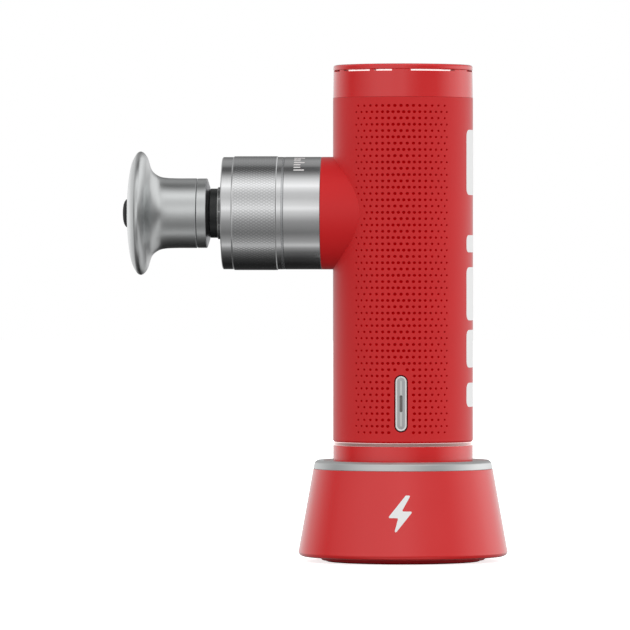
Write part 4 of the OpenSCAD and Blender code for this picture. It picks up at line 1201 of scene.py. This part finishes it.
slot_of = {p["node"]: p["material_slot"] for p in record["subparts"]}
missing = []
for nd, ob in frame["nodes"].items():
    if ob.hide_render:
        continue
    key = slot_of.get(nd)
    if key not in MATS:
        missing.append(nd)
        key = "dark_plastic"
    ob.data.materials.clear()
    ob.data.materials.append(MATS[key])
if missing:
    print("NOTE nodes with no slot:", missing)

# ------------------------------------------------------------ light and view

world = bpy.data.worlds.new("studio")
bpy.context.scene.world = world
world.use_nodes = True
T = Tree(world.node_tree)
wo = T.n("ShaderNodeOutputWorld")
tc = T.n("ShaderNodeTexCoord")
sp = T.n("ShaderNodeSeparateXYZ", {0: tc.outputs["Generated"]})
dx, dy, dz = sp.outputs
toward = T.m("MULTIPLY", dy, -1.0)


def circle_ramp(angle, table):
    """table: degrees to value over the whole turn, joined where it wraps."""
    pts = sorted(table)
    lo_, hi_ = pts[0], pts[-1]
    gap = 360 - (hi_[0] - lo_[0])
    t = (180 - hi_[0]) / gap
    edge = hi_[1] + (lo_[1] - hi_[1]) * t
    stops = [(0.0, edge)] + [((d + 180) / 360, v) for d, v in pts if -179.5 < d < 179.5] + [(1.0, edge)]
    fac = T.m("ADD", T.m("DIVIDE", angle, 2 * math.pi), 0.5)
    return T.ramp(fac, stops)


A = [(-153, .02), (-127.5, .013), (-105.4, .042), (-87.6, .127), (-77, .3), (-69.6, .64), (-62.4, .405), (-57.8, .34), (-44.4, .198), (-40.1, .188), (-17.1, .331), (-6.9, .534), (9.5, 1.07), (15.7, .86), (30.3, .632),
     (41.2, .661), (52.4, .935), (57.1, 1.19), (74.5, .735), (88.3, .272), (97.5, .11), (107.7, .11), (111.4, .221), (119.4, .319), (134, .36), (160, .17)]
B = [(-147, 1.08), (-121, .78), (-94, .06), (-72, .37), (-44, .85), (-18, .85), (6.5, .45), (31, .05), (58, .12), (89, 1.18), (115, 1.62), (136, 1.24), (152, 1.1), (179, 1.02)]
va = circle_ramp(T.m("ARCTAN2", dz, toward), A)
vb = circle_ramp(T.m("ARCTAN2", dx, toward), B)
x2 = T.m("MULTIPLY", dx, dx)
z2 = T.m("MULTIPLY", dz, dz)
w = T.m("DIVIDE", x2, T.m("ADD", T.m("ADD", x2, z2), 0.002))
near = T.m("EXPONENT", T.m("MULTIPLY", z2, -9.0))
fill = T.ramp(T.m("ADD", T.m("MULTIPLY", dz, 0.5), 0.5), [(0.0, .10), (0.3, .28), (0.5, .55), (0.7, .62), (0.85, .6), (1.0, .3)])
side = T.mix(near, fill, vb)
gloss = T.mix(w, va, side)
elev = T.m("ARCSINE", dz)
D = [(-90, .08), (-60, .12), (-35, .33), (-15, .70), (-3, 1.22), (5, 1.48), (15, 1.45), (30, 1.23), (50, .95), (70, .75), (90, .55)]
diff = T.ramp(T.m("ADD", T.m("DIVIDE", elev, math.pi), 0.5), [((d + 90) / 180, v) for d, v in D])
diff = T.n("ShaderNodeVectorMath", {0: diff, 1: T.n("ShaderNodeCombineXYZ", {0: T.m("ADD", T.m("MULTIPLY", dx, 0.12), 1.0), 1: T.m("ADD", T.m("MULTIPLY", dx, 0.12), 1.0), 2: T.m("ADD", T.m("MULTIPLY", dx, 0.12), 1.0)}).outputs[0]}, operation="MULTIPLY").outputs[0]
lp = T.n("ShaderNodeLightPath")
c = T.mix(lp.outputs["Is Glossy Ray"], diff, gloss)
c = T.mix(lp.outputs["Is Camera Ray"], c, (1.0, 1.0, 1.0, 1))
bg = T.n("ShaderNodeBackground", {"Color": c, "Strength": 1.0})
T.put(wo.inputs["Surface"], bg.outputs[0])
world.cycles.sampling_method = "NONE"

# the satin metal of the nozzle and head reflects the studio and a neutral card, not the red shells
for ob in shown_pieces():
    if any(k in ob.name for k in ("dock_shell", "dock_bolt", "side_blocks", "dock_base", "dock_foot")):
        ob.visible_glossy = False
me = bpy.data.meshes.new("reflection_card")
me.from_pydata([(-0.0285, -0.16, -0.10), (-0.0285, 0.16, -0.10), (-0.0285, 0.16, 0.34), (-0.0285, -0.16, 0.34)], [], [(0, 3, 2, 1)])
me.update()
card = new_object("reflection_card", me)
cm = bpy.data.materials.new("reflection_card")
cm.use_nodes = True
T = Tree(cm.node_tree)
co_ = T.n("ShaderNodeOutputMaterial")
g = T.n("ShaderNodeNewGeometry")
zz = T.n("ShaderNodeSeparateXYZ", {0: g.outputs["Position"]}).outputs[2]
yy = T.n("ShaderNodeSeparateXYZ", {0: g.outputs["Position"]}).outputs[1]
lum = T.ramp(T.m("DIVIDE", T.m("ADD", zz, 0.1), 0.44), [(0.0, .28), (0.3, .55), (0.37, .6), (0.41, .42), (0.45, .2), (0.48, .16), (0.52, .21), (0.56, .46), (0.62, .88), (0.72, 1.0), (0.82, .8), (1.0, .5)])
away = T.n("ShaderNodeMapRange", {0: yy, 1: 0.02, 2: 0.09}).outputs[0]
far = T.ramp(T.m("DIVIDE", T.m("ADD", zz, 0.1), 0.44), [(0.0, .3), (0.34, .5), (0.43, .2), (0.47, .18), (0.51, .33), (0.552, .55), (0.6, .55), (0.68, .9), (0.8, .9), (1.0, .5)])
lum = T.mix(away, lum, far)
em = T.n("ShaderNodeEmission", {"Color": lum, "Strength": 1.0})
tr = T.n("ShaderNodeBsdfTransparent")
mx = T.n("ShaderNodeMixShader", {0: g.outputs["Backfacing"]})
T.put(mx.inputs[1], em.outputs[0])
T.put(mx.inputs[2], tr.outputs[0])
T.put(co_.inputs["Surface"], mx.outputs[0])
me.materials.append(cm)
for flag in ("visible_camera", "visible_diffuse", "visible_transmission", "visible_shadow", "visible_volume_scatter"):
    setattr(card, flag, False)

# pale floor: white to the camera, with only a soft shadow close to the dock
floor_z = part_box("dock_foot_pad")[0].z
me = bpy.data.meshes.new("floor")
bm = bmesh.new()
bmesh.ops.create_grid(bm, x_segments=8, y_segments=8, size=6.0)
bm.to_mesh(me)
bm.free()
for v in me.vertices:
    v.co.z = floor_z - 0.00002
floor = new_object("floor", me)
fm = bpy.data.materials.new("floor")
fm.use_nodes = True
T = Tree(fm.node_tree)
fo = T.n("ShaderNodeOutputMaterial")
fd = T.n("ShaderNodeBsdfDiffuse", {"Color": (0.9, 0.9, 0.9, 1)})
fe = T.n("ShaderNodeEmission", {"Color": (1, 1, 1, 1), "Strength": 0.78})
add = T.n("ShaderNodeAddShader")
T.put(add.inputs[0], fd.outputs[0])
T.put(add.inputs[1], fe.outputs[0])
tr = T.n("ShaderNodeBsdfTransparent")
geo = T.n("ShaderNodeNewGeometry")
mx = T.n("ShaderNodeMixShader", {0: geo.outputs["Backfacing"]})
T.put(mx.inputs[1], add.outputs[0])
T.put(mx.inputs[2], tr.outputs[0])
T.put(fo.inputs["Surface"], mx.outputs[0])
me.materials.append(fm)
floor.visible_glossy = False
floor.visible_diffuse = False
floor.visible_shadow = False
floor.visible_transmission = False

cam = bpy.data.cameras.new("camera")
co = bpy.data.objects.new("camera", cam)
bpy.context.scene.collection.objects.link(co)
az = math.radians(1.6)
co.location = (math.sin(az) * 2.270, -math.cos(az) * 2.270, 0.1081)
co.rotation_euler = (math.radians(90), 0, az)
cam.sensor_width = 36
cam.lens = 363.26
cam.shift_x = -0.1397
cam.shift_y = -0.0901
cam.clip_start = 0.05
cam.clip_end = 50
bpy.context.scene.camera = co
bpy.context.scene.view_settings.view_transform = "Standard"
